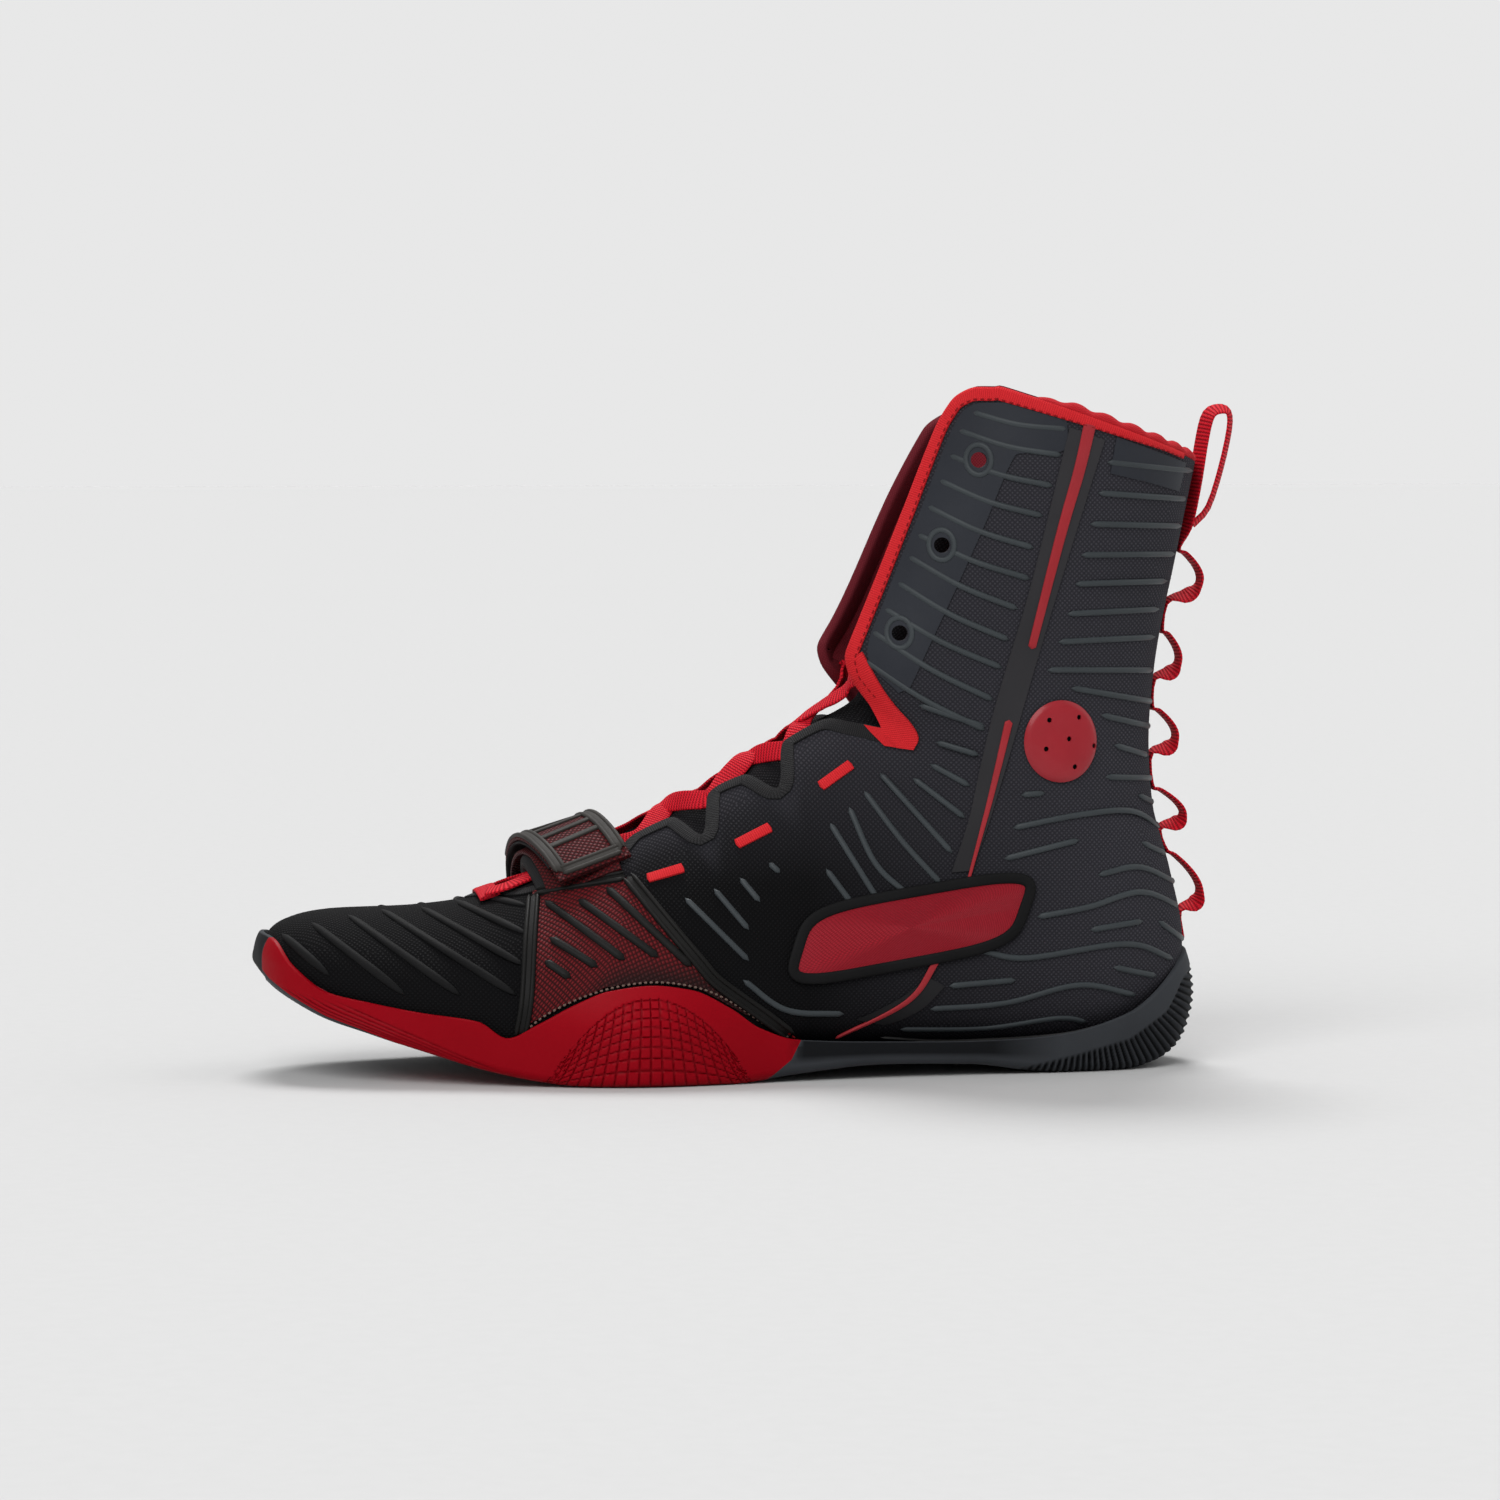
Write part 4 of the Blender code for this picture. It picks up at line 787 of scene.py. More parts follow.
def creaseLift(points):
    # how far the soft troughs sink at points of the upper
    lift = np.zeros(points.shape[:-1])
    for start, end, depth, width in creaseLines.values():
        start, run = np.array(start), np.subtract(end, start)
        place = points[..., (0, 2)] - start
        part = np.clip(place @ run / (run @ run), 0, 1)
        away = np.linalg.norm(place - part[..., None] * run, axis=-1)
        ease = np.sin(math.pi * np.clip(creaseEase[0] + creaseEase[1] * part, 0, 1))
        lift -= depth * np.exp(-(away / width) ** 2) * ease
    return lift


def frontShade(places):
    # the open knit of the forefoot is blacker than that of the shaft and heel
    front = np.clip((shadeSet["behind"] - places[:, 0]) / shadeSet["over"], 0, 1)
    low = np.clip(1 - (places[:, 2] - shadeSet["below"]) / shadeSet["fade"], shadeSet["least"], 1)
    return shadeSet["share"] * front * low


def makeEyeletBars(radius):
    places = [(x, 0.0, z) for x, z in eyelets.values()]
    across = [(math.pi / 2, 0.0, 0.0)] * len(places)
    return makeBars("eyeletBars", places, across, radius, upperSet["barLength"], upperSet["barSides"])


def makeUpper(eyeletBars):
    station = upperStations()
    part = np.linspace(0, 1, upperSet["sideColumns"] + 1)
    throats = [throatTurn(station, side)[:, None] for side in (outer, inner)]
    outerTurn, innerTurn = (throat + (math.pi - throat) * part[None, :] for throat in throats)
    turn = np.hstack((-outerTurn, innerTurn[:, -2::-1]))
    stations = np.broadcast_to(station[:, None], turn.shape)
    lift = creaseLift(lastForm(stations, turn))
    upper = gridPiece("upperShell", lastPoint(stations, turn, lift), lastNormal(stations, turn))
    fromEdge = np.broadcast_to(np.concatenate((part, part[-2::-1])), turn.shape)
    pale = np.clip(shadeSet["atEdge"] + fromEdge / shadeSet["edgeOver"], 0, 1)  # the lobes are greyer
    pale = np.where((stations > shadeSet["lobes"][0]) & (stations < shadeSet["lobes"][1]), pale, 1.0)
    markDarkToneAndShade(upper, frontShade(pointsOf(upper)) * pale.ravel())
    middles = (np.abs(turn[:-1, :-1]) + np.abs(turn[1:, 1:])) / 2
    under = (middles > upperSet["underTurn"]) & (station[:-1, None] >= upperSet["underFrom"])
    under &= station[1:, None] <= upperSet["underTo"]
    deleteFaces(upper, under.ravel())
    editAll(upper, mergeSeams)
    for finish in ("knitBlack", "liningRed"):
        upper.data.materials.append(finishes[finish])
    thicken(upper, upperSet["wall"], lining=1)
    boxUv(cut(upper, eyeletBars))
    dress(upper, None, "black_mesh", "upper", sharp=50)


eyeletBars = makeEyeletBars(upperSet["eyeletRadius"])
makeUpper(eyeletBars)
print("upper made")

# Edges: tape folded over the flaps, piping on the throat, quilted roll on the collar, rows of stitches
stitchSet = {"inward": 3.8, "binding": {"pitch": 2.4, "length": 1.7, "width": 0.55, "height": 0.22,
             "sink": 0.3}, "seam": {"pitch": 2.6, "length": 1.8, "width": 0.7, "height": 0.4, "sink": 0.3},
             "edge": {"pitch": 1.7, "length": 1.1, "width": 0.75, "height": 0.45, "sink": 0.3}}
stitchRows = {"points": 5, "sides": 6, "line": 120}
foldSet = {"width": 4.2, "gap": 0.06, "thickness": 0.75, "spacing": 1.3, "topPixel": (1184, 450),
           "taper": 90.0, "share": 0.4, "fromNotch": 0.04, "leastWidth": 0.12, "ease": 0.6, "flapRows": 400,
           "collarRows": 20}
# shade darkens the lining's rim at the flap's edge as painted shade
liningSet = {"shade": 0.65, "width": 6.5, "gap": 0.06, "thickness": 0.7, "proud": 0.35}
pipingSet = {"width": 3.8, "turnedIn": 2.0, "gap": 0.06, "thickness": 0.55}
pipingRows = {"toNotch": 0.02, "rows": 600}
# the binding widens over the notch: two edges of its foot and of the foot's tip, in the photo's pixels
gussetLines = ((((849, 662), (862, 686), (873, 707), (881, 724), (886, 738), (897, 748)),
                ((863, 652), (881, 685), (896, 706), (912, 724), (919, 738), (914, 750))),
               (((865, 725), (873, 734), (885, 746)), ((882, 728), (889, 737), (899, 748))))
gussetSet = {"rows": 36, "columns": 12, "lift": 0.95, "thickness": 0.8}
rollSet = {"rise": 3.4, "depth": 4.4, "leg": 12.0, "pitch": 10.2, "pinch": 0.30, "spacing": 1.0,
           "start": (1030, 393), "swellOver": 14.0}
# (inward, lift) of the roll in shares of rise, depth and leg; those on the upper's wall are in mm
rollOver = ((-0.45, 0.35), (-0.85, -0.25), (-1.0, -0.55), (-0.8, -0.9), (-0.2, -1.1), (0.4, -1.0),
            (0.8, -0.75))


def stitchRun(name, points, normals, stitch):
    # separate stitches along a line of points
    way = wayAlong(points)
    threads = []
    for start in np.arange(0, way[-1] - stitch["length"], stitch["pitch"]):
        place = np.linspace(start, start + stitch["length"], stitchRows["points"])
        spots, up = (rowsAt(place, way, values) for values in (points, normals))
        grid = stripGrid(spots, unit(up), stitch["width"], stitch["height"], stitch["sink"],
                         stitchRows["sides"], blunt=stitch["length"] / 4)
        threads.append(gridPiece(name, grid))
    return closeUp(joinPieces(name, threads))


def photoStitches(name, line, lift, stitch):
    station, turn = photoPlace(spreadSmooth(line, stitchRows["line"]))
    return stitchRun(name, lastPoint(station, -turn, lift), lastNormal(station, -turn), stitch)


def edgeRun(station, turn):
    edge = lastForm(station, turn)
    facing = lastNormal(station, turn)
    along = unit(np.gradient(edge, axis=0))
    return edge, facing, unit(np.cross(along, facing))


def foldOver(name, station, turn, profile, narrow=1.0):
    # closed profile of (inward, lift) swept along an edge of the upper, its legs narrowed along the way
    edge, facing, inward = edgeRun(station, turn)
    profile = np.array(profile + profile[:1])
    leg = profile[:, 0] * np.broadcast_to(narrow, station.shape)[:, None]
    reach = np.where(profile[:, 0] > 0, leg, profile[:, 0])
    rings = edge[:, None] + inward[:, None] * reach[..., None] + facing[:, None] * profile[None, :, 1:]
    return closedPiece(name, capped(rings))


def evenEdge(station, turn, spacing):
    way = wayAlong(lastForm(station, turn))
    place = np.linspace(0, way[-1], int(way[-1] / spacing) + 2)
    return np.interp(place, way, station), np.interp(place, way, turn)


def outerLeg(sizes):
    # (inward, lift) of a tape's leg on the outside, from its free edge to the fold
    width, gap, out = sizes["width"], sizes["gap"], sizes["gap"] + sizes["thickness"]
    return [(width, gap), (width, out * 0.8), (width - 0.4, out), (0.4, out), (-out * 0.7, out * 0.6)]


def flapEdge(side):
    # the flap's edge from the notch to the collar, and how much of the tape's width is left along it
    rows = np.linspace(throatKnot["notch"] + foldSet["fromNotch"], collarStation, foldSet["flapRows"])
    turns = throatTurn(rows, side)
    collarTurn = np.linspace(turns[-1], photoPlace([foldSet["topPixel"]])[1][0], foldSet["collarRows"])[1:]
    station = np.concatenate((rows, np.full(len(collarTurn), collarStation)))
    turn = np.concatenate((turns, collarTurn))
    station, turn = evenEdge(station, turn, foldSet["spacing"])
    way = wayAlong(lastForm(station, turn))
    narrow = np.clip((way[-1] - way) / foldSet["taper"], foldSet["leastWidth"], 1) ** foldSet["ease"]
    if side == inner:
        station, turn, narrow = station[::-1], turn[::-1], narrow[::-1]
    return station, side * turn, narrow


def flapProfiles():
    # (inward, lift) of each side's tape, and of the lining turned over the flap's edge from inside
    wall, gap, out = upperSet["wall"], foldSet["gap"], foldSet["gap"] + foldSet["thickness"]
    seam = -foldSet["share"] * wall
    deep, under = -wall - liningSet["gap"], -wall - liningSet["gap"] - liningSet["thickness"]
    proud, width = out + liningSet["proud"], liningSet["width"]
    inside = [(-proud, -wall), (-0.6 * proud, under + 0.1), (0.4, under), (width - 0.5, under),
              (width, under + 0.3)]
    tape = [*outerLeg(foldSet), (-out, seam), (-gap, seam), (-gap, gap)]
    lining = [(width, deep), (-gap, deep), (-gap, seam - gap), (-out, seam - gap), (-proud, seam - 0.3),
              *inside]
    innerTape = [*outerLeg(foldSet)[:3], (0.75, out), (0.4, out * 0.7), (0.35, gap)]
    innerLining = [(width, deep), (-gap, deep), (-gap, gap), (0.25, gap), (0.25, out * 0.7),
                   (-0.3, out * 0.8), (-0.8 * proud, out * 0.3), (-proud, -0.4), *inside]
    return {outer: (tape, lining), inner: (innerTape, innerLining)}


def makeFlapBinding():
    # bright tape on the outside of each flap, dark lining turned over its edge
    tapes, linings = [], []
    profiles = flapProfiles()
    for side in (outer, inner):
        station, turn, narrow = flapEdge(side)
        tapes.append(foldOver("flapBinding", station, turn, profiles[side][0], narrow))
        linings.append(foldOver("flapLining", station, turn, profiles[side][1], narrow))
        edge, facing, inward = edgeRun(station, turn)
        seamLine = edge + inward * (stitchSet["inward"] * narrow)[:, None]
        seamLine = seamLine + facing * (foldSet["gap"] + foldSet["thickness"])
        threads = stitchRun("bindingThread_" + sideNames[side], seamLine, facing, stitchSet["binding"])
        dress(threads, "threadRed", "red_tape", sharp=80)
        for left, right in gussetLines:
            station, turn = photoPlace(betweenLines(left, right, gussetSet["rows"], gussetSet["columns"]))
            turn = sideTurn(station, turn, side)
            foot = gridPiece("gusset", lastPoint(station, turn, gussetSet["lift"]), lastNormal(station, turn))
            tapes.append(thicken(foot, gussetSet["thickness"]))
    lining = joinPieces("flapLining", linings)
    # the rim, which catches more light, is darkened as painted shade
    markDarkToneAndShade(lining, liningSet["shade"])
    dress(lining, "liningRed", "red_cloth", sharp=60)
    dress(joinPieces("flapBinding", tapes), "bindingRed", "red_tape", "collar_binding", sharp=60)


def makeThroatPiping():
    rows = np.linspace(throatStations[0], throatKnot["notch"] - pipingRows["toNotch"], pipingRows["rows"])
    station, turn = evenEdge(rows, throatTurn(rows), foldSet["spacing"])
    station = np.concatenate((station[::-1], station[1:]))
    turn = np.concatenate((turn[::-1], -turn[1:]))
    wall, gap = upperSet["wall"], pipingSet["gap"]
    outside = outerLeg(pipingSet)
    inside = [(min(deep, pipingSet["turnedIn"]), -wall - lift) for deep, lift in reversed(outside)]
    fold = [(-gap - pipingSet["thickness"], -wall / 2)]
    profile = outside + fold + inside + [(-gap, -wall - gap), (-gap, gap)]
    dress(foldOver("throatPiping", station, turn, profile), "clothBlack", "black_mesh", sharp=60)


def makeCollarRoll():
    turn = np.linspace(-photoPlace([rollSet["start"]])[1][0], -math.pi, 200)
    turn = np.concatenate((turn, -turn[-2::-1]))
    station, turn = evenEdge(np.full(len(turn), collarStation), np.unwrap(turn), rollSet["spacing"])
    edge, facing, inward = edgeRun(station, turn)
    way = wayAlong(edge)
    puff = 1 - rollSet["pinch"] * np.abs(np.cos(math.pi * way / rollSet["pitch"])) ** 3
    atEnds = np.clip(np.minimum(way, way[-1] - way) / rollSet["swellOver"], 0.05, 1)
    puff = (puff * np.sqrt(atEnds))[:, None]
    rise, deep, leg, wall = rollSet["rise"], rollSet["depth"], rollSet["leg"], upperSet["wall"]
    over = [(across * (rise if across < 0 else leg), lift * deep if lift < 0 else lift)
            for across, lift in rollOver]
    profile = [(0.1, 0.1), *over, (leg, -wall - 0.3), (0.5 * leg, -wall - 0.1), (0.1, -wall - 0.1),
               (0.1, 0.1)]
    rings = np.stack([edge + inward * np.where(across < 0, across * puff, across)
                      + facing * np.where(lift < -wall, -wall + (lift + wall) * puff, lift)
                      for across, lift in profile], axis=1)
    roll = closedPiece("collarRoll", capped(rings))
    applyModifier(roll, "SUBSURF", levels=1, render_levels=1)
    dress(roll, "rollRed", "red_cloth", sharp=80)


makeFlapBinding()
makeThroatPiping()
makeCollarRoll()
print("edges made")

# Ribs welded on the mesh: start and end of each in the photo's pixels
ribSet = {"width": 1.9, "height": 0.75, "sink": 0.5, "sides": 10}
vampRibSet = {"width": 2.8, "height": 0.9, "sink": 0.7, "sides": 10, "blunt": 11.0}
flapRibs = (((972, 412), (1068, 429)), ((958, 430), (1062, 455)), ((949, 455), (1053, 486)),
            ((939, 480), (1043, 516)), ((927, 506), (1034, 548)), ((917, 534), (1030, 579)),
            ((908, 556), (1018, 609)), ((897, 582), (1009, 640)), ((884, 608), (1002, 668)),
            ((872, 631), (993, 700)), ((864, 660), (985, 730)))
shaftRibs = (((1107, 462), (1193, 471)), ((1098, 493), (1188, 499)), ((1090, 524), (1182, 526)),
             ((1081, 555), (1175, 554)), ((1075, 584), (1167, 581)), ((1067, 614), (1159, 609)),
             ((1058, 642), (1155, 637)), ((1047, 670), (1154, 670)), ((1071, 688), (1155, 702)),
             ((1101, 715), (1153, 727)), ((1114, 745), (1154, 757)))
heelRibs = (((1105, 777), (1155, 778)), ((1021, 795), (1045, 793)), ((1138, 795), (1155, 803)),
            ((1013, 828), (1079, 815), (1131, 811), (1162, 828)), ((1004, 859), (1079, 840)),
            ((1141, 842), (1172, 857)), ((1098, 875), (1139, 867), (1177, 883)),
            ((1037, 917), (1089, 907), (1141, 892), (1185, 909)), ((1090, 930), (1143, 921)),
            ((1158, 921), (1186, 941)), ((979, 950), (1026, 958), (1126, 944), (1173, 959)),
            ((1113, 967), (1157, 976)), ((949, 986), (1016, 980)),
            ((930, 1009), (1005, 1003), (1079, 985), (1136, 995)),
            ((900, 1029), (985, 1028), (1058, 1018), (1087, 1022)))
quarterRibs = (((919, 705), (985, 727)), ((936, 742), (979, 755)), ((930, 764), (970, 786)),
               ((913, 778), (965, 818)), ((880, 773), (952, 853)), ((864, 791), (902, 841), (941, 884)),
               ((849, 807), (875, 863), (908, 895)), ((830, 823), (881, 905)), ((826, 869), (858, 912)),
               ((769, 863), (780, 873)), ((740, 878), (760, 902)), ((714, 889), (749, 930)),
               ((685, 898), (749, 961)), ((743, 980), (786, 1010), (844, 1014)))
vampRibs = (((282, 934), (330, 976)), ((312, 923), (405, 995)), ((348, 915), (460, 995)),
            ((382, 910), (516, 995)), ((422, 908), (523, 965)), ((458, 902), (527, 934)),
            ((488, 897), (527, 906)))
flapSag = (-1.5, 4.0)
flapRibs = [(start, tuple(np.add(start, end) / 2 + flapSag), end) for start, end in flapRibs]
ribFamilies = {"flapRibs": flapRibs, "shaftRibs": shaftRibs, "heelRibs": heelRibs, "quarterRibs": quarterRibs,
               "vampRibs": vampRibs}
ringBars = makeEyeletBars(upperSet["ringRadius"])
for side in (outer, inner):
    for family, lines in ribFamilies.items():
        onVamp = family == "vampRibs"
        ribs = photoStrips(family + "_" + sideNames[side], lines, side, vampRibSet if onVamp else ribSet)
        if family == "flapRibs":
            cut(ribs, ringBars)
        dress(ribs, "ribBlack" if onVamp else "ribSlate", "slate_film", sharp=80)
drop(ringBars)
print("ribs made")

# Film, tapes and stripes welded on the shaft
filmThickness = 0.36
eyestayFront = ((195.8, 117.3), (187.0, 128.6), (193.1, 147.6), (203.4, 173.3), (212.9, 197.5),
                (218.4, 205.0), (227.5, 206.0))
eyestayBack = ((199.0, 119.0), (203.4, 129.0), (212.1, 148.0), (221.0, 168.1), (229.3, 188.0),
               (233.0, 190.6), (243.6, 191.0), (246.0, 194.0), (245.6, 200.6))
tapeHigh = (((246.6, 198.5), (235.0, 150.0), (223.5, 110.5), (217.0, 80.0), (211.0, 62.5)),
            ((257.5, 194.6), (244.0, 150.0), (231.0, 106.0), (223.5, 80.0), (217.5, 63.0)))
tapeLow = (((203.0, 31.0), (196.0, 25.5), (187.0, 20.8), (181.0, 18.4)),
           ((208.5, 28.0), (202.0, 21.5), (195.0, 17.9), (190.0, 16.4)))
collarPatch = (((261.3, 195.6), (273.5, 191.6), (286.5, 187.4)), ((259.6, 184.4), (272.3, 181.6),
               (284.4, 178.6)))
# name, two edges, rows and columns, lift, finish, and the solid that it stands for
filmPieces = (("eyestayFilm", (eyestayFront, eyestayBack), (90, 26), 0.42, "filmSlate", "eyestay_"),
              ("ankleTape", tapeHigh, (120, 10), 0.55, "tapeGrey", "ankle_tape_"),
              ("archTape", tapeLow, (40, 8), 0.55, "tapeGrey", "arch_tape_"),
              ("collarPatch", collarPatch, (30, 10), 0.4, "filmSlate", None))
stripeLines = (((1090, 423), (1079, 470), (1061, 533), (1031, 649)), ((1009, 720), (990, 800), (965, 892)),
               ((939, 956), (908, 1000), (835, 1037)))
stripeSet = {"lift": 0.55, "height": 0.45, "sink": 0.5, "width": ((3.9, 2.5), (2.5, 0.8), (2.2, 0.8)),
             "squareness": 0.45, "sides": 12, "blunt": 0.9}
eyeletRing = {"half": (3.6, 4.6), "lift": 0.42, "width": 1.7, "height": 0.9, "points": 40, "sides": 10}


def makeEyeletRings(side):
    rings = []
    u, v = roundedLoop(np.linspace(0, fullTurn, eyeletRing["points"] + 1), 1.0)
    for x, z in eyelets.values():
        place = np.stack((x + eyeletRing["half"][0] * u, z + eyeletRing["half"][1] * v), axis=-1)
        grid = loopGrid(*onSide(place, side, eyeletRing["lift"]), eyeletRing["width"] / 2,
                        eyeletRing["height"] / 2, eyeletRing["sides"])
        rings.append(gridPiece("eyeletRing", grid))
    return closeUp(joinPieces("eyeletRings_" + sideNames[side], rings))


for side in (outer, inner):
    name = sideNames[side]
    for title, edges, counts, lift, finish, node in filmPieces:
        film = overlay(title + "_" + name, betweenLines(*edges, *counts), side, lift, filmThickness)
        if title == "eyestayFilm":
            cut(film, eyeletBars)
        if finish == "tapeGrey":
            markDarkToneAndShade(film, frontShade(pointsOf(film)))
        dress(film, finish, "slate_film", *([node + name] if node else []))
    dress(makeEyeletRings(side), "ribSlate", "slate_film", sharp=80)
    stripes = photoStrips("shaftStripes_" + name, stripeLines, side, stripeSet, 0.8)
    dress(stripes, "filmRed", "red_film", sharp=60)
drop(eyeletBars)
print("films made")

# Ankle pod with its vents, and the plain panel on the quarter
podShape = {"middle": (245.0, 102.4), "half": (11.8, 12.6), "lean": 0.0, "power": 2.0, "rise": 0.0}
podSet = {"edgeLift": 0.7, "crown": 1.5, "thickness": 0.6, "spokes": 64, "rings": 14, "ventRadius": 0.8,
          "ventLift": 1.4, "ventLength": 6.0, "ventSides": 16,
          "vents": ((1047, 720), (1076, 717), (1066, 739), (1044, 749), (1091, 746), (1072, 767))}
panelShape = {"middle": (198.0, 46.0), "half": (36.0, 10.5), "lean": 0.55, "power": 4.5, "rise": 9.0}
panelSet = {"lift": 1.0, "thickness": 0.7, "spokes": 96, "rings": 12, "rimWidth": 3.4, "rimHeight": 0.6,
            "rimPoints": 160, "rimSides": 10, "rimSquareness": 0.8}


def makePod(side):
    places = roundedPatch(podShape, podSet["spokes"], podSet["rings"])
    out = np.linspace(0, 1, podSet["rings"] + 1)[:, None]
    lift = podSet["edgeLift"] + podSet["crown"] * np.sqrt(np.clip(1 - out ** 4, 0, 1))
    lift = np.broadcast_to(lift, places.shape[:2])
    pod = overlay("anklePod_" + sideNames[side], places, side, lift, podSet["thickness"])
    station, turn = photoPlace(podSet["vents"])
    turns = [Vector(normal).to_track_quat("Z", "Y").to_euler() for normal in lastNormal(station, side * turn)]
    ventBars = makeBars("ventBars", lastPoint(station, side * turn, podSet["ventLift"]), turns,
                        podSet["ventRadius"], podSet["ventLength"], podSet["ventSides"])
    cut(pod, ventBars)
    drop(ventBars)
    return pod


def makePanelRim(side):
    rim = roundedPatch(panelShape, panelSet["rimPoints"], 1)[1]
    grid = loopGrid(*onSide(rim, side, panelSet["lift"]), panelSet["rimWidth"] / 2, panelSet["rimHeight"],
                    panelSet["rimSides"], panelSet["rimSquareness"])
    return closedPiece("panelRim_" + sideNames[side], grid)


for side in (outer, inner):
    name = sideNames[side]
    dress(makePod(side), "podRed", "red_film", "ankle_pod_" + name)
    places = roundedPatch(panelShape, panelSet["spokes"], panelSet["rings"])
    panel = overlay("sidePanel_" + name, places, side, panelSet["lift"], panelSet["thickness"])
    dress(panel, "panelRed", "red_film", "side_panel_" + name)
    dress(makePanelRim(side), "ribBlack", "black_mesh", sharp=70)
print("pods and panels made")

# Strap panel on the outer side, its rubber frame and bars
strapPanelUpper = ((84.5, 56.2), (98.5, 58.9), (113.4, 61.2), (122.7, 48.7), (132.0, 37.6), (148.5, 21.5))
strapPanelLower = ((78.4, 18.4), (91.0, 24.9), (103.0, 29.9), (117.0, 31.6), (131.0, 29.5), (146.0, 20.9))
strapPanelSet = {"rows": 80, "columns": 36, "lift": 0.8, "thickness": 0.6, "seamLift": 0.9, "lipOffset": 1.4}
frameLines = (((535, 896), (531, 940), (527, 1000), (521, 1036)), ((536, 895), (580, 886), (626, 878)),
              ((628, 878), (666, 924), (700, 964), (716, 982), (752, 1008), (790, 1034)))
barLines = (((546, 903), (625, 961)), ((579, 901), (658, 958)), ((607, 889), (691, 967)),
            ((550, 939), (598, 968)), ((545, 962), (571, 979)))
frameSet = {"lift": 0.9, "width": 4.4, "height": 0.45, "sink": 0.8, "squareness": 0.5, "sides": 14}
lipSet = {"lift": 1.2, "width": 1.5, "height": 0.75, "sink": 0.5, "sides": 10}
barSet = {"lift": 0.8, "width": 2.6, "height": 0.9, "sink": 0.6, "sides": 10, "blunt": 0.6}
strapPanelFade = {"least": 0.5, "most": 0.93, "above": 1.0, "over": 13.0, "behind": 132.0, "overBack": 14.0,
                  "overFront": 30.0, "atFront": 0.35}
seamLines = {"red": ((641, 893), (668, 925), (700, 962), (722, 984), (760, 1012), (800, 1040)),
             "pale": ((522, 1034), (545, 1016), (580, 999), (620, 987), (660, 983), (700, 989), (730, 1002),
             (760, 1021), (790, 1036))}


def fadePanel(panel):
    # the mesh darkens towards the sole and the back of the panel
    places = pointsOf(panel)
    lower = np.array(strapPanelLower)
    above = places[:, 2] - np.interp(places[:, 0], lower[:, 0], lower[:, 1])
    low = 1 - np.clip((above - strapPanelFade["above"]) / strapPanelFade["over"], 0, 1)
    back = np.clip((places[:, 0] - strapPanelFade["behind"]) / strapPanelFade["overBack"], 0, 1)
    front = (places[:, 0] - lower[0, 0]) / strapPanelFade["overFront"]
    low = low * np.clip(front, strapPanelFade["atFront"], 1)
    markDarkToneAndShade(panel, np.clip(np.maximum(low, back), strapPanelFade["least"], strapPanelFade["most"]))


panelPlaces = betweenLines(strapPanelUpper, strapPanelLower, strapPanelSet["rows"], strapPanelSet["columns"],
                           smooth=False)
strapPanel = overlay("strapPanel", panelPlaces, outer, strapPanelSet["lift"], strapPanelSet["thickness"])
fadePanel(strapPanel)
for title, line, stitch, finish in (("panelSeam", "red", "seam", "threadRed"),
                                    ("soleEdgeThread", "pale", "edge", "threadPale")):
    threads = photoStitches(title, seamLines[line], strapPanelSet["seamLift"], stitchSet[stitch])
    dress(threads, finish, "red_tape")
dress(strapPanel, "meshRed", "red_tape", "strap_panel")
strapFrame = [photoStrips("frame", frameLines, outer, frameSet), photoStrips("bars", barLines, outer, barSet)]
for offset in (strapPanelSet["lipOffset"], -strapPanelSet["lipOffset"]):
    strapFrame.append(photoStrips("lip", frameLines, outer, dict(lipSet, offset=offset)))
dress(joinPieces("strapPanelFrame", strapFrame), "rubberFrame", "black_rubber", sharp=70)

# Strap over the laces, doubled back through its ring
strapRoute = np.array(( (6.16, -33.0, 0.9), (6.18, -24.0, 2.4), (6.18, -14.0, 4.4), (6.16, -3.0, 6.2),
                       (6.08, 10.0, 6.6), (5.98, 28.0, 5.6), (5.92, 43.0, 4.3), (5.90, 51.0, 3.7),
                       (5.90, 55.9, 6.5), (5.90, 51.0, 9.2), (5.92, 43.0, 8.8), (5.98, 28.0, 9.0),
                       (6.10, 10.0, 9.3), (6.20, -5.0, 9.0), (6.28, -18.0, 7.0), (6.34, -32.0, 3.9)))
strapSet = {"width": 24.0, "thickness": 1.6, "count": 150, "sides": 24, "squareness": 0.3}
strapFoot = ((543, 889), (626, 875))  # ends of the strap's foot on the panel, in the photo's pixels
strapEndSet = {"from": 0.72, "to": 0.985, "frame": 4.2, "lip": 1.5, "bar": 2.3, "height": 0.7, "sink": 0.4,
               "lipOffset": 1.4, "lipLift": 0.3, "shade": 0.68, "bars": (0.82, 0.855, 0.89, 0.925),
               "tilt": math.radians(9)}
strapBacking = {"from": 0.66, "to": 0.965, "width": 24.4, "thickness": 1.2, "sides": 20, "squareness": 0.4,
                "below": 1.35}
strapRoll = {"station": 5.70, "rows": 7, "halfWidth": 2.6, "clear": 0.9, "least": 0.6}
tabRoute = np.array(( (5.92, 82.0, 1.2), (5.91, 77.5, 1.2), (5.90, 73.0, 1.7), (5.90, 66.5, 2.6),
                     (5.90, 61.0, 3.6), (5.90, 58.8, 6.4), (5.90, 61.0, 9.3), (5.90, 66.5, 9.2),
                     (5.90, 73.0, 5.8), (5.91, 79.0, 3.4)))
tabSet = {"width": 24.0, "thickness": 1.2, "count": 90, "sides": 20, "squareness": 0.3}
ringSet = {"station": 5.90, "turn": math.radians(57.5), "lift": 6.55, "half": (16.5, 5.6), "wire": 1.2,
           "power": 5.0}


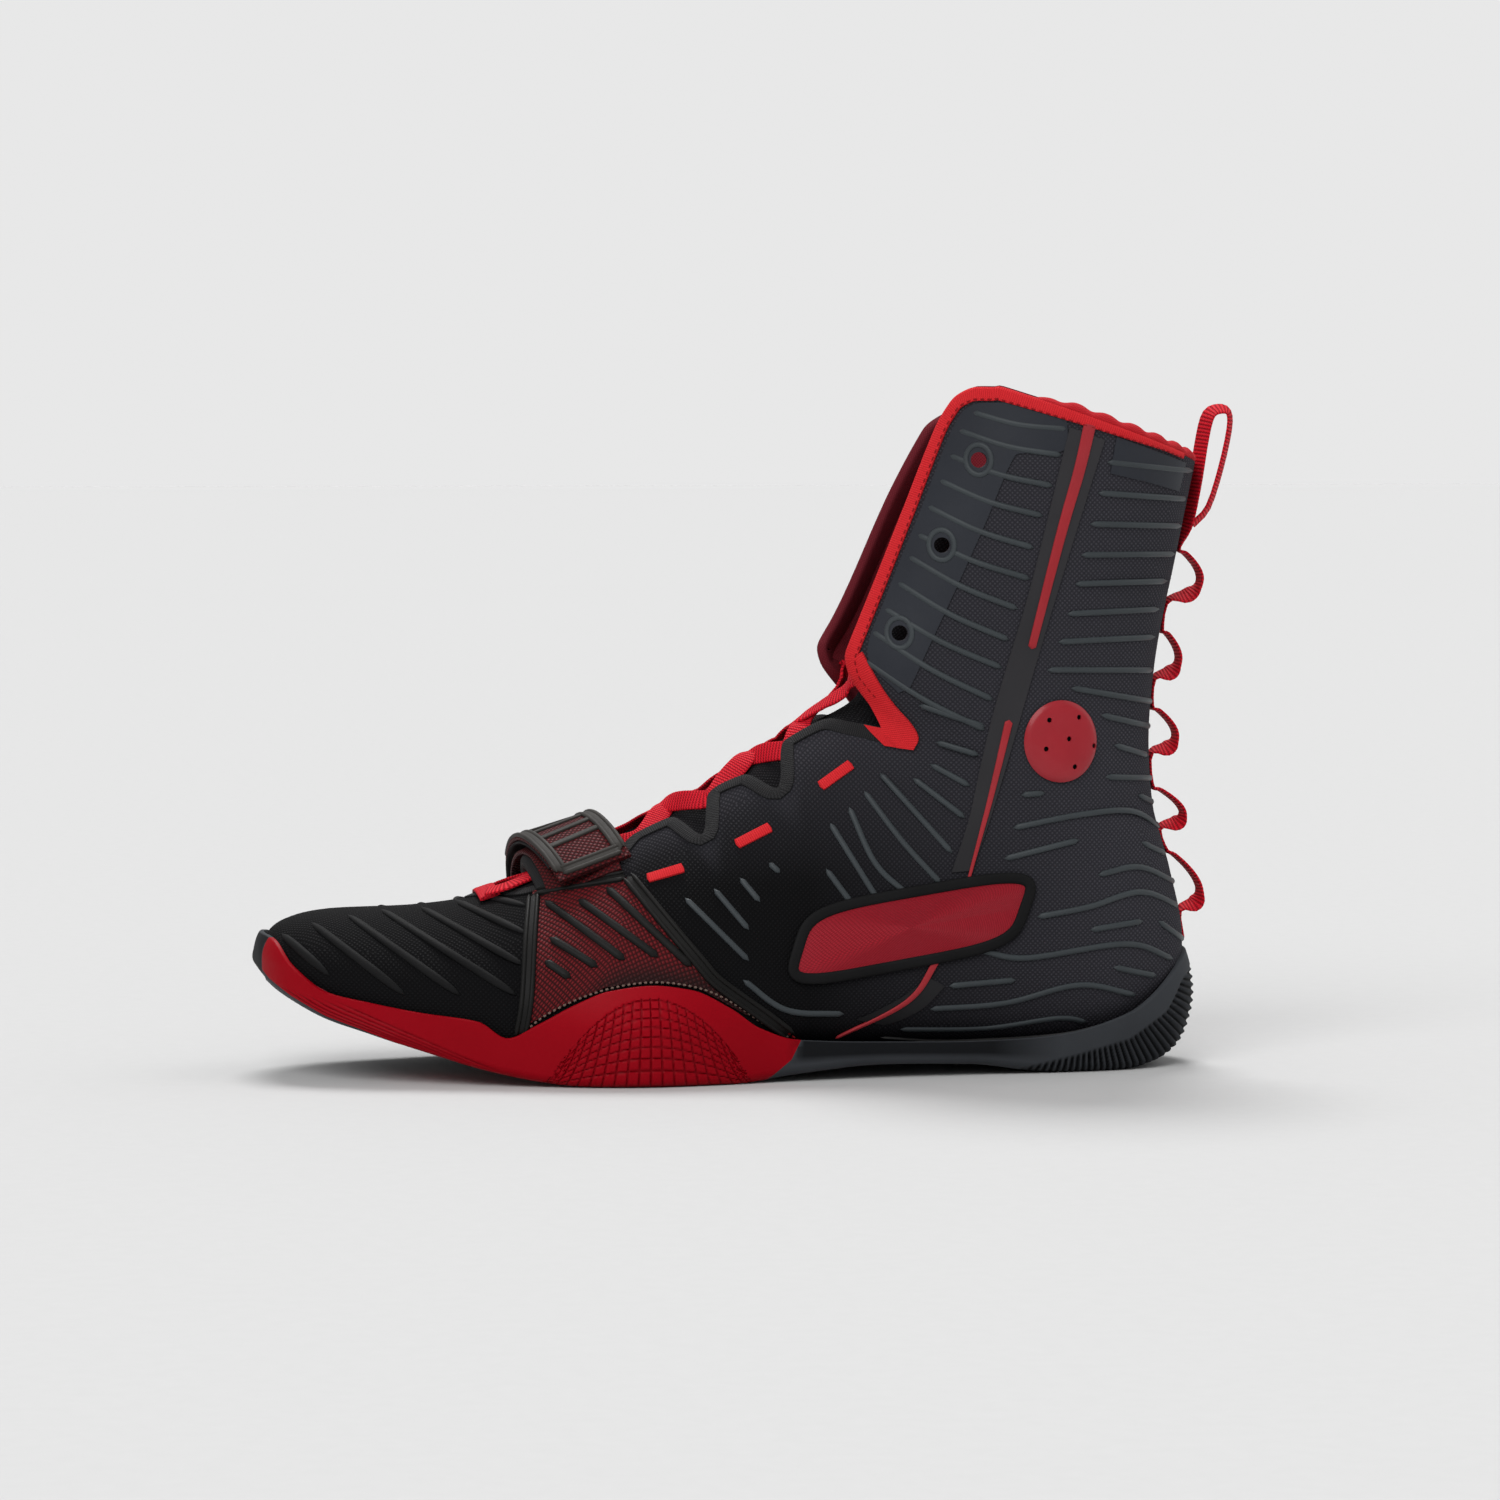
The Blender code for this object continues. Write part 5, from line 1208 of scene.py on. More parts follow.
def bandRun(route, count, tilt=0.0, foot=None):
    # centres, width and outward directions along a band across the foot: from its foot's line to a tilted end
    values = smoothThrough(route, np.linspace(0, len(route) - 1, count))
    station, turn, lift = values[:, 0], np.radians(values[:, 1]), values[:, 2]
    centres = lastPoint(station, turn, lift)
    along = unit(np.gradient(centres, axis=0))
    across = squareTo(unit(lastAlong(station, turn)), along)
    facing = np.cross(across, along)
    way = np.linspace(0, 1, count)[:, None]
    down = -np.sign(np.sum(facing * lastNormal(station, turn), axis=-1, keepdims=True)) * math.tan(tilt)
    across = unit(across + facing * down * np.clip(2 * way - 0.6, 0, 1))
    if foot is not None:
        near = np.clip(1 - 5 * way, 0, 1)
        across = squareTo(unit(across * (1 - near) + foot * near), along)
    return centres, across, np.cross(across, along)


def bandPiece(name, centres, across, band):
    return closedPiece(name, ribbonGrid(centres, across, band["width"], band["thickness"], band["sides"],
                                        band["squareness"]))


def makeStrapRoll():
    # soft roll that fills the space below the strap's start
    rows = strapRoll["rows"]
    low = smoothThrough(strapRoute[:rows], np.linspace(0.6, rows - 1.4, 40))
    station, turn = np.full(len(low), strapRoll["station"]), np.radians(low[:, 1])
    up = lastNormal(station, turn)
    height = np.maximum(low[:, 2] - strapRoll["clear"], strapRoll["least"])[:, None]
    across = unit(lastAlong(station, turn))
    middle = lastForm(station, turn) + up * height / 2
    grid = ringGrid(middle, across * strapRoll["halfWidth"], up * height / 2, 16)
    dress(closedPiece("strapRoll", grid), "clothBlack", "black_mesh", sharp=80)


def makeStrapEnd(centres, across, outward):
    # rubber frame with lips and bars on the strap's end
    way = np.linspace(0, 1, len(centres))
    edge = strapSet["width"] / 2 - strapEndSet["frame"] / 2
    start, end, height, sink = (strapEndSet[key] for key in ("from", "to", "height", "sink"))
    corners = [((start, end), (aside, aside), "frame", 40) for aside in (-edge, edge)]
    corners += [((place, place), (-edge, edge), "frame" if place == end else "bar", 20)
                for place in (end, *strapEndSet["bars"])]
    pieces = []
    for places, asides, kind, count in corners:
        place = np.linspace(*places, count)
        up = unit(rowsAt(place, way, outward))
        aside = np.linspace(*asides, count)[:, None]
        points = rowsAt(place, way, centres) + rowsAt(place, way, across) * aside
        points = points + up * strapSet["thickness"] / 2
        strips = [stripGrid(points, up, strapEndSet[kind], height, sink, 12, 0.5)]
        if kind == "frame":
            lifted = points + up * strapEndSet["lipLift"]
            for offset in (-strapEndSet["lipOffset"], strapEndSet["lipOffset"]):
                strips.append(stripGrid(lifted, up, strapEndSet["lip"], height, sink, offset=offset))
        pieces += [gridPiece("strapStrip", strip) for strip in strips]
    dress(closeUp(joinPieces("strapEndFrame", pieces)), "rubberPaler", "black_rubber", sharp=70)


def makeStrap():
    station, turn = photoPlace(strapFoot)
    footLine = unit(np.diff(lastForm(station, -turn), axis=0))
    centres, across, facing = bandRun(strapRoute, strapSet["count"], strapEndSet["tilt"], footLine)
    strap = bandPiece("strap", centres, across, strapSet)
    markDarkToneAndShade(strap, strapEndSet["shade"])
    dress(strap, "meshRed", "red_tape", "strap", sharp=50)
    makeStrapRoll()
    outward = facing * np.sign(facing[-1, 2])
    way = np.linspace(0, 1, len(centres))
    backed = (way > strapBacking["from"]) & (way < strapBacking["to"])
    under = centres[backed] - outward[backed] * strapBacking["below"]
    backing = bandPiece("strapBacking", under, across[backed], strapBacking)
    dress(backing, "clothBlack", "black_mesh", sharp=50)
    makeStrapEnd(centres, across, outward)


def makeRing():
    station, turn = np.array(ringSet["station"]), np.array(ringSet["turn"])
    middle = lastPoint(station, turn, ringSet["lift"])
    facing = lastNormal(station, turn)
    longWay = squareTo(lastAlong(station, turn), facing)
    shortWay = np.cross(facing, longWay)
    u, v = roundedLoop(np.linspace(0, fullTurn, 73), 2.0 / ringSet["power"])
    path = middle + u[:, None] * ringSet["half"][0] * longWay + v[:, None] * ringSet["half"][1] * shortWay
    wire = ringSet["wire"]
    ring = closedPiece("strapRing", loopGrid(path, np.broadcast_to(facing, path.shape), wire, wire, 14))
    dress(ring, "plasticBlack", "black_plastic", "strap_ring", sharp=80)
    centres, across, _ = bandRun(tabRoute, tabSet["count"])
    dress(bandPiece("ringTab", centres, across, tabSet), "meshRed", "red_tape", "ring_tab", sharp=50)


makeStrap()
makeRing()
print("strap made")

# Lace: two strands from the bar above the vamp, crossing through the lobes to the inside of the flaps
laceSet = {"width": 6.6, "thickness": 1.2, "sides": 16, "squareness": 0.5, "fine": 18, "rise": 1.0,
           "barRise": 0.25, "behindHole": 9.5, "faceSwitch": 9.0, "faceBlend": 16.0, "inside": -3.0}
# station, turn in degrees, lift in mm, and how far the tape leans to the side, in degrees
laceRoute = ( (5.02, 12.0, 1.0, 0.0), (5.36, 14.0, 1.0, 0.0), (5.78, 8.0, -0.4, 10.0),
             (6.40, -8.0, -1.0, 30.0), (7.00, -17.5, -1.6, 22.0), (7.47, 0.0, -1.7, 48.0),
             (7.92, 18.0, -1.6, 20.0), (8.30, 11.5, -1.4, 40.0), (8.70, 0.0, -1.9, 50.0),
             (9.22, -16.0, -1.9, 18.0), (9.58, -9.0, -1.4, 28.0), (9.95, 0.0, -1.3, 12.0),
             (11.30, 8.5, -1.0, -12.0), (12.70, 17.0, -2.4, -36.0), (14.00, 26.0, -3.2, -40.0))
laceBar = [(5.04, degrees, 1.1, 0.0) for degrees in (-16.0, -8.0, 0.0, 8.0, 16.0)]
tabLines = (((647, 879), (684, 868)), ((736, 845), (771, 827)), ((820, 787), (852, 764)))
lobeTabSet = {"lift": 0.0, "width": 3.4, "height": 0.7, "sink": 0.5, "squareness": 0.25, "sides": 12,
              "blunt": 0.4}


def makeLace():
    holes = np.array([eyelets[name] for name in ("low", "middle", "top")])
    hidden = [(station, math.degrees(turn) + laceSet["behindHole"], laceSet["inside"], 0.0)
              for station, turn in zip(*stationAndTurn(*holes.T))]
    strand = (*laceRoute, *hidden)
    runs = ((strand, 1, 0.0), (strand, -1, laceSet["rise"]), (laceBar, 1, laceSet["barRise"]))
    strands = []
    for route, mirror, raised in runs:
        values = smoothThrough(np.array(route), np.linspace(0, len(route) - 1, laceSet["fine"] * len(route)))
        station, turn = values[:, 0], np.radians(values[:, 1]) * mirror
        centres, normal = lastPoint(station, turn, values[:, 2]), lastNormal(station, turn)
        along = unit(np.gradient(centres, axis=0))
        aside = unit(np.cross(along, normal))
        aside = np.where(aside[:, 1:2] > 0, -aside, aside)
        switch = np.clip((laceSet["faceSwitch"] - np.degrees(turn)) / laceSet["faceBlend"], -1, 1)
        lean = (switch * np.radians(values[:, 3]))[:, None]
        facing = normal * np.cos(lean) + aside * np.sin(lean)
        grid = ribbonGrid(centres + facing * raised, np.cross(facing, along), laceSet["width"],
                          laceSet["thickness"], laceSet["sides"], laceSet["squareness"])
        strands.append(gridPiece("lace", grid))
    dress(closeUp(joinPieces("lace", strands)), "tapeRed", "red_tape", "lace", sharp=50)
    for side in (outer, inner):
        tabs = photoStrips("lobeTabs_" + sideNames[side], tabLines, side, lobeTabSet, 0.4)
        dress(tabs, "bindingRed", "red_tape", sharp=60)


makeLace()
print("lace made")

# Tongue, padded, under the lace: station and depth below the last
tongueRows = np.array(((4.5, 3.3), (5.2, 3.4), (6.0, 3.8), (7.0, 4.2), (8.0, 4.2), (9.0, 4.2), (10.0, 4.2),
                       (11.0, 5.5), (12.0, 9.0), (13.0, 13.0), (14.5, 18.0), (16.0, 19.0), (17.5, 19.0),
                       (18.8, 19.0)))
tongueSet = {"turn": math.radians(54), "rows": 110, "columns": 41, "thickness": 3.0, "edge": 0.8,
             "edgeFrom": 0.7, "crown": 0.4, "crownTo": 0.3, "shade": 0.85}


def makeTongue():
    station = np.linspace(tongueRows[0, 0], tongueRows[-1, 0], tongueSet["rows"])
    depth = smoothBetween(station, tongueRows[:, 0], tongueRows[:, 1])
    part = np.linspace(-1, 1, tongueSet["columns"])
    turn = np.broadcast_to(part * tongueSet["turn"], (len(station), len(part)))
    stations = np.broadcast_to(station[:, None], turn.shape)
    nearEdge = np.clip((np.abs(part) - tongueSet["edgeFrom"]) / (1 - tongueSet["edgeFrom"]), 0, 1)
    thin = tongueSet["edge"] * nearEdge ** 2
    top = -(depth[:, None] + thin)
    under = top - tongueSet["thickness"] + 2 * thin
    top = top + tongueSet["crown"] * np.clip(1 - (part / tongueSet["crownTo"]) ** 2, 0, 1)
    points = np.hstack((lastPoint(stations, turn, top), lastPoint(stations, turn, under)[:, ::-1]))
    points = np.concatenate((points, points[:, :1]), axis=1)
    ends = [(points[end] + points[end, ::-1])[None] / 2 for end in (0, -1)]
    tongue = closedPiece("tonguePad", np.concatenate((ends[0], points, ends[1])))
    markDarkToneAndShade(tongue, tongueSet["shade"])
    dress(tongue, "knitBlack", "black_mesh", "tongue", sharp=60)


makeTongue()
print("tongue made")

# Heel tape with its twisted loops, and the pull loop at the collar
heelTape = {"width": 7.0, "thickness": 1.0, "sides": 16, "squareness": 0.5, "start": 38.6, "gap": 0.8,
            "sag": 0.7, "swell": 0.8, "twistSwell": 0.3, "loopPoints": 13, "lean": math.radians(5),
            "turnOver": math.radians(34), "turnAt": 0.11, "turnSpan": 0.11, "pullLean": math.radians(22)}
heelLoops = ((47.0, 66.4, 8.0), (73.0, 86.3, 8.8), (96.3, 111.3, 8.2), (119.8, 135.4, 7.2),
             (144.0, 160.5, 9.2))
pullLoop = ((290.8, 166.5), (292.2, 171.0), (294.3, 181.7), (296.4, 195.0), (298.4, 202.2), (301.8, 204.0),
            (304.7, 203.0), (305.0, 197.8), (302.4, 185.7), (298.4, 173.4), (293.6, 168.0))


def makeHeelTape():
    station = np.linspace(12.0, collarStation, 80)
    back = lastPoint(station, np.full(len(station), math.pi), heelTape["gap"])
    route = [(heelTape["start"], 0.0, 0.0)]
    for fromZ, toZ, reach in heelLoops:
        for part in np.linspace(0, 1, heelTape["loopPoints"]):
            swell = max(0.0, math.sin(math.pi * part ** heelTape["sag"]))
            turned = math.exp(-((part - heelTape["turnAt"]) / heelTape["turnSpan"]) ** 2)
            twist = heelTape["lean"] + turned * heelTape["turnOver"]
            twist = swell ** heelTape["twistSwell"] * twist
            route.append((fromZ + (toZ - fromZ) * part, reach * swell ** heelTape["swell"], twist))
    line = [(np.interp(z, back[:, 2], back[:, 0]) + out, z, twist) for z, out, twist in route]
    line += [(x, z, heelTape["pullLean"]) for x, z in pullLoop]
    line = smoothThrough(np.array(line), np.linspace(0, len(line) - 1, 3 * len(line)))
    centres = np.stack((line[:, 0], np.zeros(len(line)), line[:, 1]), axis=-1)
    along = unit(np.gradient(centres, axis=0))
    twist = line[:, 2:]
    level = np.array((0.0, 1.0, 0.0))
    across = level * np.cos(twist) + np.cross(along, level) * np.sin(twist)
    dress(bandPiece("heelTape", centres, across, heelTape), "tapeRed", "red_tape", "heel_webbing", sharp=50)


makeHeelTape()
print("heel tape made")

# Sole: cup with grooved heel and gridded outrigger, split into black outsole and red side wall
# station along the sole, its underside, and its top edge on the outer and the inner side
soleRows = np.array((
    (-6.0, 38.0, 43.5, 43.5), (3.0, 29.0, 42.8, 42.8), (10.0, 24.4, 34.6, 34.6), (20.0, 19.3, 27.4, 27.4),
    (32.0, 15.4, 24.8, 24.8), (48.0, 10.5, 21.9, 22.2), (65.0, 5.4, 19.5, 20.6), (73.5, 3.4, 14.6, 20.1),
    (82.0, 1.8, 18.6, 19.8), (94.0, 0.4, 25.0, 19.6), (104.0, 0.0, 28.8, 19.4), (117.0, 0.0, 30.3, 19.0),
    (129.0, 0.0, 28.8, 18.5), (141.0, 0.0, 23.0, 17.8), (150.0, 0.7, 16.8, 17.2), (162.0, 2.2, 12.7, 16.3),
    (189.0, 4.2, 11.2, 14.0), (218.0, 3.4, 10.6, 12.6), (234.0, 1.2, 11.0, 12.6), (246.0, 0.0, 12.1, 13.2),
    (268.0, 0.0, 18.0, 18.0), (277.0, 1.6, 23.5, 23.5), (286.0, 5.5, 31.0, 31.0), (291.0, 11.0, 35.0, 35.0),
    (295.0, 21.0, 37.0, 37.0), (301.0, 32.0, 38.0, 38.0)))
# the toe's shade share and its reach give painted shade on the black toe strip
soleSet = {"grow": 2.2, "wall": 1.7, "stretch": 16.0, "onset": 2.2, "wallRows": 70, "underRings": 22,
           "bedRings": 6, "roundBelow": 3.0, "roundShare": 0.8, "bedBelow": 0.6, "leastBed": 0.8,
           "formTo": 15.0,
           "formRows": 220, "formColumns": 181, "toeCentre": (40.0, 7.5), "heelCentre": (252.0, 0.0),
           "toeColumns": 60, "heelColumns": 130, "innerEdge": -5.5, "toePaintedShade": 0.85, "toePaintedShadeTo": 16.0}
# from, to and step of the columns along the sole's straight middle
soleColumns = ((soleSet["toeCentre"][0], 84.0, 1.5), (84.0, 150.0, 0.33), (150.0, 230.0, 2.0),
               (230.0, soleSet["heelCentre"][0], 0.5))
# (inward, up) of the lip above the wall
soleLip = ((0.35, 0.3), (soleSet["wall"] - 0.2, 0.25), (soleSet["wall"], -0.4))
# station along the sole, black layer under the red
toeLayer = np.array(((-12.0, 3.4), (-6.0, 3.4), (-1.0, 3.0), (4.0, 2.2), (10.0, 1.5), (20.0, 1.1),
                     (30.0, 0.9), (52.0, -1.0), (72.0, -3.0)))
treadSet = {"pitch": 6.4, "depth": 0.9, "groove": 0.17, "chevron": 0.45, "middle": 5.0}
outrigger = {"middle": 116.0, "spread": 26.0, "reach": 4.0, "top": 34.0, "fade": 16.0, "halfWidth": 40.0}
outriggerGrid = {"pitch": 3.7, "rows": 8, "bunch": 1.3, "peak": 26.5, "halfSpan": 32.0, "groove": 0.11,
                 "depth": 0.55, "fan": 0.28}
heelForm = {"from": 266.0, "over": 24.0, "reach": 2.2, "height": 20.0, "spread": 11.0, "lip": 1.3,
            "lipFrom": 0.62}
heelGrooves = {"pitch": 2.2, "depth": 0.9, "from": 231.0, "over": 4.0, "topFade": 1.5,
               "centre": (252.0, 40.0), "radius": 42.0}
heelGrooveTop = np.array(((231.0, 1.8), (250.0, 6.0), (268.0, 10.5), (280.5, 18.5), (286.5, 27.4),
                          (298.0, 35.0)))
# painted shade along the top of the arch's wall, its lower edge left lighter
archPaintedShade = {"outer": (158.0, 6.0), "inner": (96.0, 66.0), "to": 246.0, "fade": 22.0, "above": 0.3,
             "blend": 0.25, "share": 0.85}
toeRidges = {"count": 5, "height": (2.6, 1.1), "fromX": (6.0, 4.0), "toX": (44.0, 7.0), "foot": 0.8,
             "depth": 0.42, "width": 0.4}
jointLine = ((163.5, 14.0), (160.0, 7.0), (152.5, 1.0), (148.0, -3.0))
sidewallSpace = {"above": 60.0, "outside": -90.0}


def soleLine(x, column):
    return smoothBetween(np.clip(x, soleRows[0, 0], soleRows[-1, 0]), soleRows[:, 0], soleRows[:, column])


def atHeel(x):
    return np.clip((x - heelForm["from"]) / heelForm["over"], 0, 1)


def soleForm():
    # the last grown into the sole's outer form
    station = np.linspace(0.0, soleSet["formTo"], soleSet["formRows"])[:, None]
    turn = np.linspace(-math.pi, math.pi, soleSet["formColumns"])[None, :]
    station, turn = np.broadcast_arrays(station, turn)
    points = lastPoint(station, turn, soleSet["grow"])
    normal = lastNormal(station, turn)
    points[..., 2] -= soleSet["stretch"] * np.clip(-soleSet["onset"] * normal[..., 2], 0, 1)
    nearBall = np.exp(-((points[..., 0] - outrigger["middle"]) / outrigger["spread"]) ** 2)
    low = np.clip((outrigger["top"] - points[..., 2]) / outrigger["fade"], 0, 1)
    outside = np.clip(-points[..., 1] / outrigger["halfWidth"], 0, 1) ** 2
    points[..., 1] -= outrigger["reach"] * nearBall * low * outside
    level = np.exp(-((points[..., 2] - heelForm["height"]) / heelForm["spread"]) ** 2)
    points[..., 0] += heelForm["reach"] * atHeel(points[..., 0]) * level
    rows, columns = points.shape[:2]
    corner = (np.arange(rows - 1)[:, None] * columns + np.arange(columns - 1)[None, :]).ravel()
    faces = np.stack((corner, corner + 1, corner + columns + 1, corner + columns), axis=-1)
    return BVHTree.FromPolygons(points.reshape(-1, 3).tolist(), faces.tolist())


def soleSpine():
    # centre and outward direction for each column around the sole, toe to heel on the outer side and back
    toe, heel = np.array(soleSet["toeCentre"]), np.array(soleSet["heelCentre"])
    x = np.concatenate([np.arange(*run) for run in soleColumns])
    part = (x - toe[0]) / (heel[0] - toe[0])
    straight = toe + (heel - toe) * part[:, None]
    toeAngle = np.linspace(180, 270, soleSet["toeColumns"], endpoint=False)
    heelAngle = np.linspace(270, 360, soleSet["heelColumns"])
    centres = np.vstack((np.broadcast_to(toe, (len(toeAngle), 2)), straight,
                         np.broadcast_to(heel, (len(heelAngle), 2))))
    angle = np.radians(np.concatenate((toeAngle, np.full(len(x), 270.0), heelAngle)))
    ways = np.stack((np.cos(angle), np.sin(angle)), axis=-1)
    back = ways[-2::-1] * (1, -1)
    return np.vstack((centres, centres[-2::-1])), np.vstack((ways, back))


def castWall(form, centres, ways, heights):
    # distance from the spine to the outer form at each height of each column
    reach = np.full(heights.shape, np.nan)
    for column, row in np.ndindex(heights.shape):
        start = Vector((*centres[column], heights[column, row]))
        hit = form.ray_cast(start, Vector((*ways[column], 0.0)))
        if hit[0] is not None:
            reach[column, row] = hit[3]
    return reach


def soleRelief(points):
    # how deep the side's grooves cut: grid on the outrigger, flutes on the heel, ridges on the toe
    x, y, z = np.moveaxis(points, -1, 0)
    side = np.clip(1 - ((x - outrigger["middle"]) / outriggerGrid["halfSpan"]) ** 2, 0, 1)
    level = z / np.maximum(outriggerGrid["peak"] * side, 1e-3)
    lean = 1 - outriggerGrid["fan"] * np.clip(level, 0, 1)
    across = (x - outrigger["middle"]) / (outriggerGrid["pitch"] * lean)
    up = np.clip(level, 0, 2) ** outriggerGrid["bunch"] * outriggerGrid["rows"]
    onColumn, onRow = (np.clip(1 - np.abs(count - np.round(count)) / outriggerGrid["groove"], 0, 1)
                       for count in (across, up))
    inGrid = (level < 1.02) & (side > 0.02) & (y < -20)
    relief = outriggerGrid["depth"] * np.sqrt(np.maximum(onColumn, onRow)) * inGrid
    top = np.interp(x, *heelGrooveTop.T)
    fan = np.arctan2(heelGrooves["centre"][1] - z, x - heelGrooves["centre"][0]) * heelGrooves["radius"]
    flute = 0.5 - 0.5 * np.cos(fullTurn * fan / heelGrooves["pitch"])
    fade = np.clip((top - z) / heelGrooves["topFade"], 0, 1)
    fade = fade * np.clip((x - heelGrooves["from"]) / heelGrooves["over"], 0, 1)
    relief += heelGrooves["depth"] * flute * fade
    for number in range(toeRidges["count"]):
        start, end, height = (toeRidges[key][0] + toeRidges[key][1] * number
                              for key in ("fromX", "toX", "height"))
        part = (x - start) / (end - start)
        line = soleLine(x, 1) + height * (1 - part) + toeRidges["foot"] * part
        inRun = np.clip(8 * part, 0, 1) * np.clip(8 * (1 - part), 0, 1)
        relief += toeRidges["depth"] * inRun * np.clip(1 - np.abs(z - line) / toeRidges["width"], 0, 1)
    return relief


def treadDepth(ring, share):
    # chevron grooves across the underside, ending short of its edge
    across = (ring[:, 0] + treadSet["chevron"] * np.abs(ring[:, 1] - treadSet["middle"])) / treadSet["pitch"]
    groove = np.clip(1 - np.abs(across - np.round(across)) / treadSet["groove"], 0, 1)
    return treadSet["depth"] * np.clip(2 * groove, 0, 1) * np.clip(6 * (share - 0.12), 0, 1)


def soleWall(centres, ways):
    # points of the wall by column and row, and its foot's height at each column
    form = soleForm()
    onOuter = ways[:, 1] < 0
    low, high = np.full(len(centres), 4.0), np.full(len(centres), 12.0)
    for _ in range(4):
        ends = castWall(form, centres, ways, np.stack((low, high), axis=-1))
        ends = np.where(np.isnan(ends), np.nanmedian(ends), ends)
        x = centres[:, :1] + ways[:, :1] * ends
        low = soleLine(x[:, 0], 1)
        high = np.where(onOuter, soleLine(x[:, 1], 2), soleLine(x[:, 1], 3))
    heights = low[:, None] + (high - low)[:, None] * np.linspace(0, 1, soleSet["wallRows"] + 1)[None, :]
    reach = castWall(form, centres, ways, heights)
    rows = np.arange(reach.shape[1])
    for column in reach:
        missing = np.isnan(column)
        if missing.any() and not missing.all():
            column[missing] = np.interp(rows[missing], rows[~missing], column[~missing])
    flat = centres[:, None] + ways[:, None] * reach[..., None]
    return np.concatenate((flat, heights[..., None]), axis=-1), low[:, None]


def paintedSoleShade(wall, ways, relief):
    # painted shade: darker in the grooves, along the top of the arch and on the toe's black strip
    part = np.linspace(0, 1, wall.shape[1])[None, :]
    begin, over = np.where(ways[:, 1:] < 0, archPaintedShade["outer"], archPaintedShade["inner"]).T[..., None]
    arch = np.clip((wall[..., 0] - begin) / over, 0, 1)
    arch *= np.clip((archPaintedShade["to"] - wall[..., 0]) / archPaintedShade["fade"], 0, 1)
    arch *= np.clip((part - archPaintedShade["above"]) / archPaintedShade["blend"], 0, 1)
    shade = np.maximum(relief / outriggerGrid["depth"], archPaintedShade["share"] * arch)
    atToe = (wall[..., 0] < soleSet["toePaintedShadeTo"]) & (wall[..., 1] > soleSet["innerEdge"])
    return np.clip(np.where(atToe, np.maximum(shade, soleSet["toePaintedShade"]), shade), 0, 1)


def makeSoleCup():
    centres, ways = soleSpine()
    wall, low = soleWall(centres, ways)
    relief = soleRelief(wall)
    nearFoot = np.clip(1 - (wall[..., 2] - low) / soleSet["roundBelow"], 0, 1)
    depth = relief + soleSet["roundBelow"] * soleSet["roundShare"] * (1 - np.sqrt(1 - nearFoot ** 2))
    part = np.linspace(0, 1, wall.shape[1])[None, :]
    atTop = np.clip((part - heelForm["lipFrom"]) / (1 - heelForm["lipFrom"]), 0, 1)
    depth = depth + heelForm["lip"] * atHeel(wall[..., 0]) * atTop ** 2
    wall[..., :2] -= ways[:, None] * depth[..., None]
    spine = np.concatenate((centres, soleLine(centres[:, 0], 1)[:, None]), axis=-1)
    under = []
    for share in np.linspace(1, 0, soleSet["underRings"] + 1)[:-1]:
        ring = wall[:, 0] + (spine - wall[:, 0]) * share
        ring[:, 2] = soleLine(ring[:, 0], 1) + treadDepth(ring, share)
        under.append(ring)
    lip = [wall[:, -1] + np.hstack((-ways * inward, np.full((len(ways), 1), up))) for inward, up in soleLip]
    bed = []
    for share in np.linspace(0, 1, soleSet["bedRings"]):
        ring = lip[-1].copy()
        ring[:, :2] += (centres - ring[:, :2]) * share
        bedHeight = np.maximum(np.interp(ring[:, 0], *soleBase) - soleSet["bedBelow"],
                               soleLine(ring[:, 0], 1) + soleSet["leastBed"])
        ring[:, 2] += (bedHeight - ring[:, 2]) * min(1.0, share * 4 + 0.2)
        bed.append(ring)
    grid = np.stack((*under, *np.moveaxis(wall, 1, 0), *lip, *bed), axis=0)
    cup = gridPiece("soleCup", grid)
    marks = np.zeros(grid.shape[:2])
    # painted shade on the sole's wall: grooves, top of the arch and toe strip
    marks[len(under):len(under) + wall.shape[1]] = paintedSoleShade(wall, ways, relief).T
    markDarkToneAndShade(cup, marks)
    return closeUp(cup)


def makeSidewallSpace():
    # prism of the red side wall: front of the slanting joint, above the toe's thin black layer
    above, outside = sidewallSpace["above"], sidewallSpace["outside"]
    x = toeLayer[:, 0]
    under = toeLayer[:, 1] + soleLine(x, 1)
    outline = np.array([(x[0], above), *zip(x, under), *jointLine[::-1], (jointLine[0][0], above)])
    space = addPiece(bpy.ops.mesh.primitive_circle_add, "sidewallSpace", vertices=len(outline), radius=1.0,
                     fill_type="NGON")
    places = np.stack((outline[:, 0], np.full(len(outline), outside), outline[:, 1]), axis=-1)
    space.data.vertices.foreach_set("co", toScene(places).ravel())
    depth = (soleSet["innerEdge"] - outside) * mm
    extrude = (bpy.ops.mesh.extrude_region_move, {"TRANSFORM_OT_translate": {"value": (0.0, depth, 0.0)}})
    return editAll(space, extrude, (bpy.ops.mesh.select_all, {"action": "SELECT"}), faceOutwards)


def copyPiece(piece, name):
    pick(piece)
    bpy.ops.object.duplicate(linked=False)
    twin = bpy.context.active_object
    twin.name = twin.data.name = name
    return twin


cup = makeSoleCup()
print("sole cup made:", len(cup.data.polygons), "faces")
space = makeSidewallSpace()
sidewall = cut(copyPiece(cup, "forefootSidewall"), space, "INTERSECT")
outsole = cut(copyPiece(cup, "outsoleCup"), space, "DIFFERENCE")
drop(cup)
drop(space)
dress(sidewall, "rubberRed", "red_rubber", "forefoot_sidewall", sharp=50)
dress(outsole, "rubberBlack", "black_rubber", "outsole", sharp=50)
glueLine = ((880, 1036), (945, 1039), (1037, 1035), (1089, 1027), (1131, 1011), (1160, 988), (1180, 957))
glueSet = {"lift": 0.5, "width": 0.7, "height": 0.4, "sink": 0.4, "sides": 6}
for side in (outer, inner):
    glue = photoStrips("glueLine_" + sideNames[side], (glueLine,), side, glueSet)
    dress(glue, "glueGrey", "slate_film", sharp=80)
print("sole made")

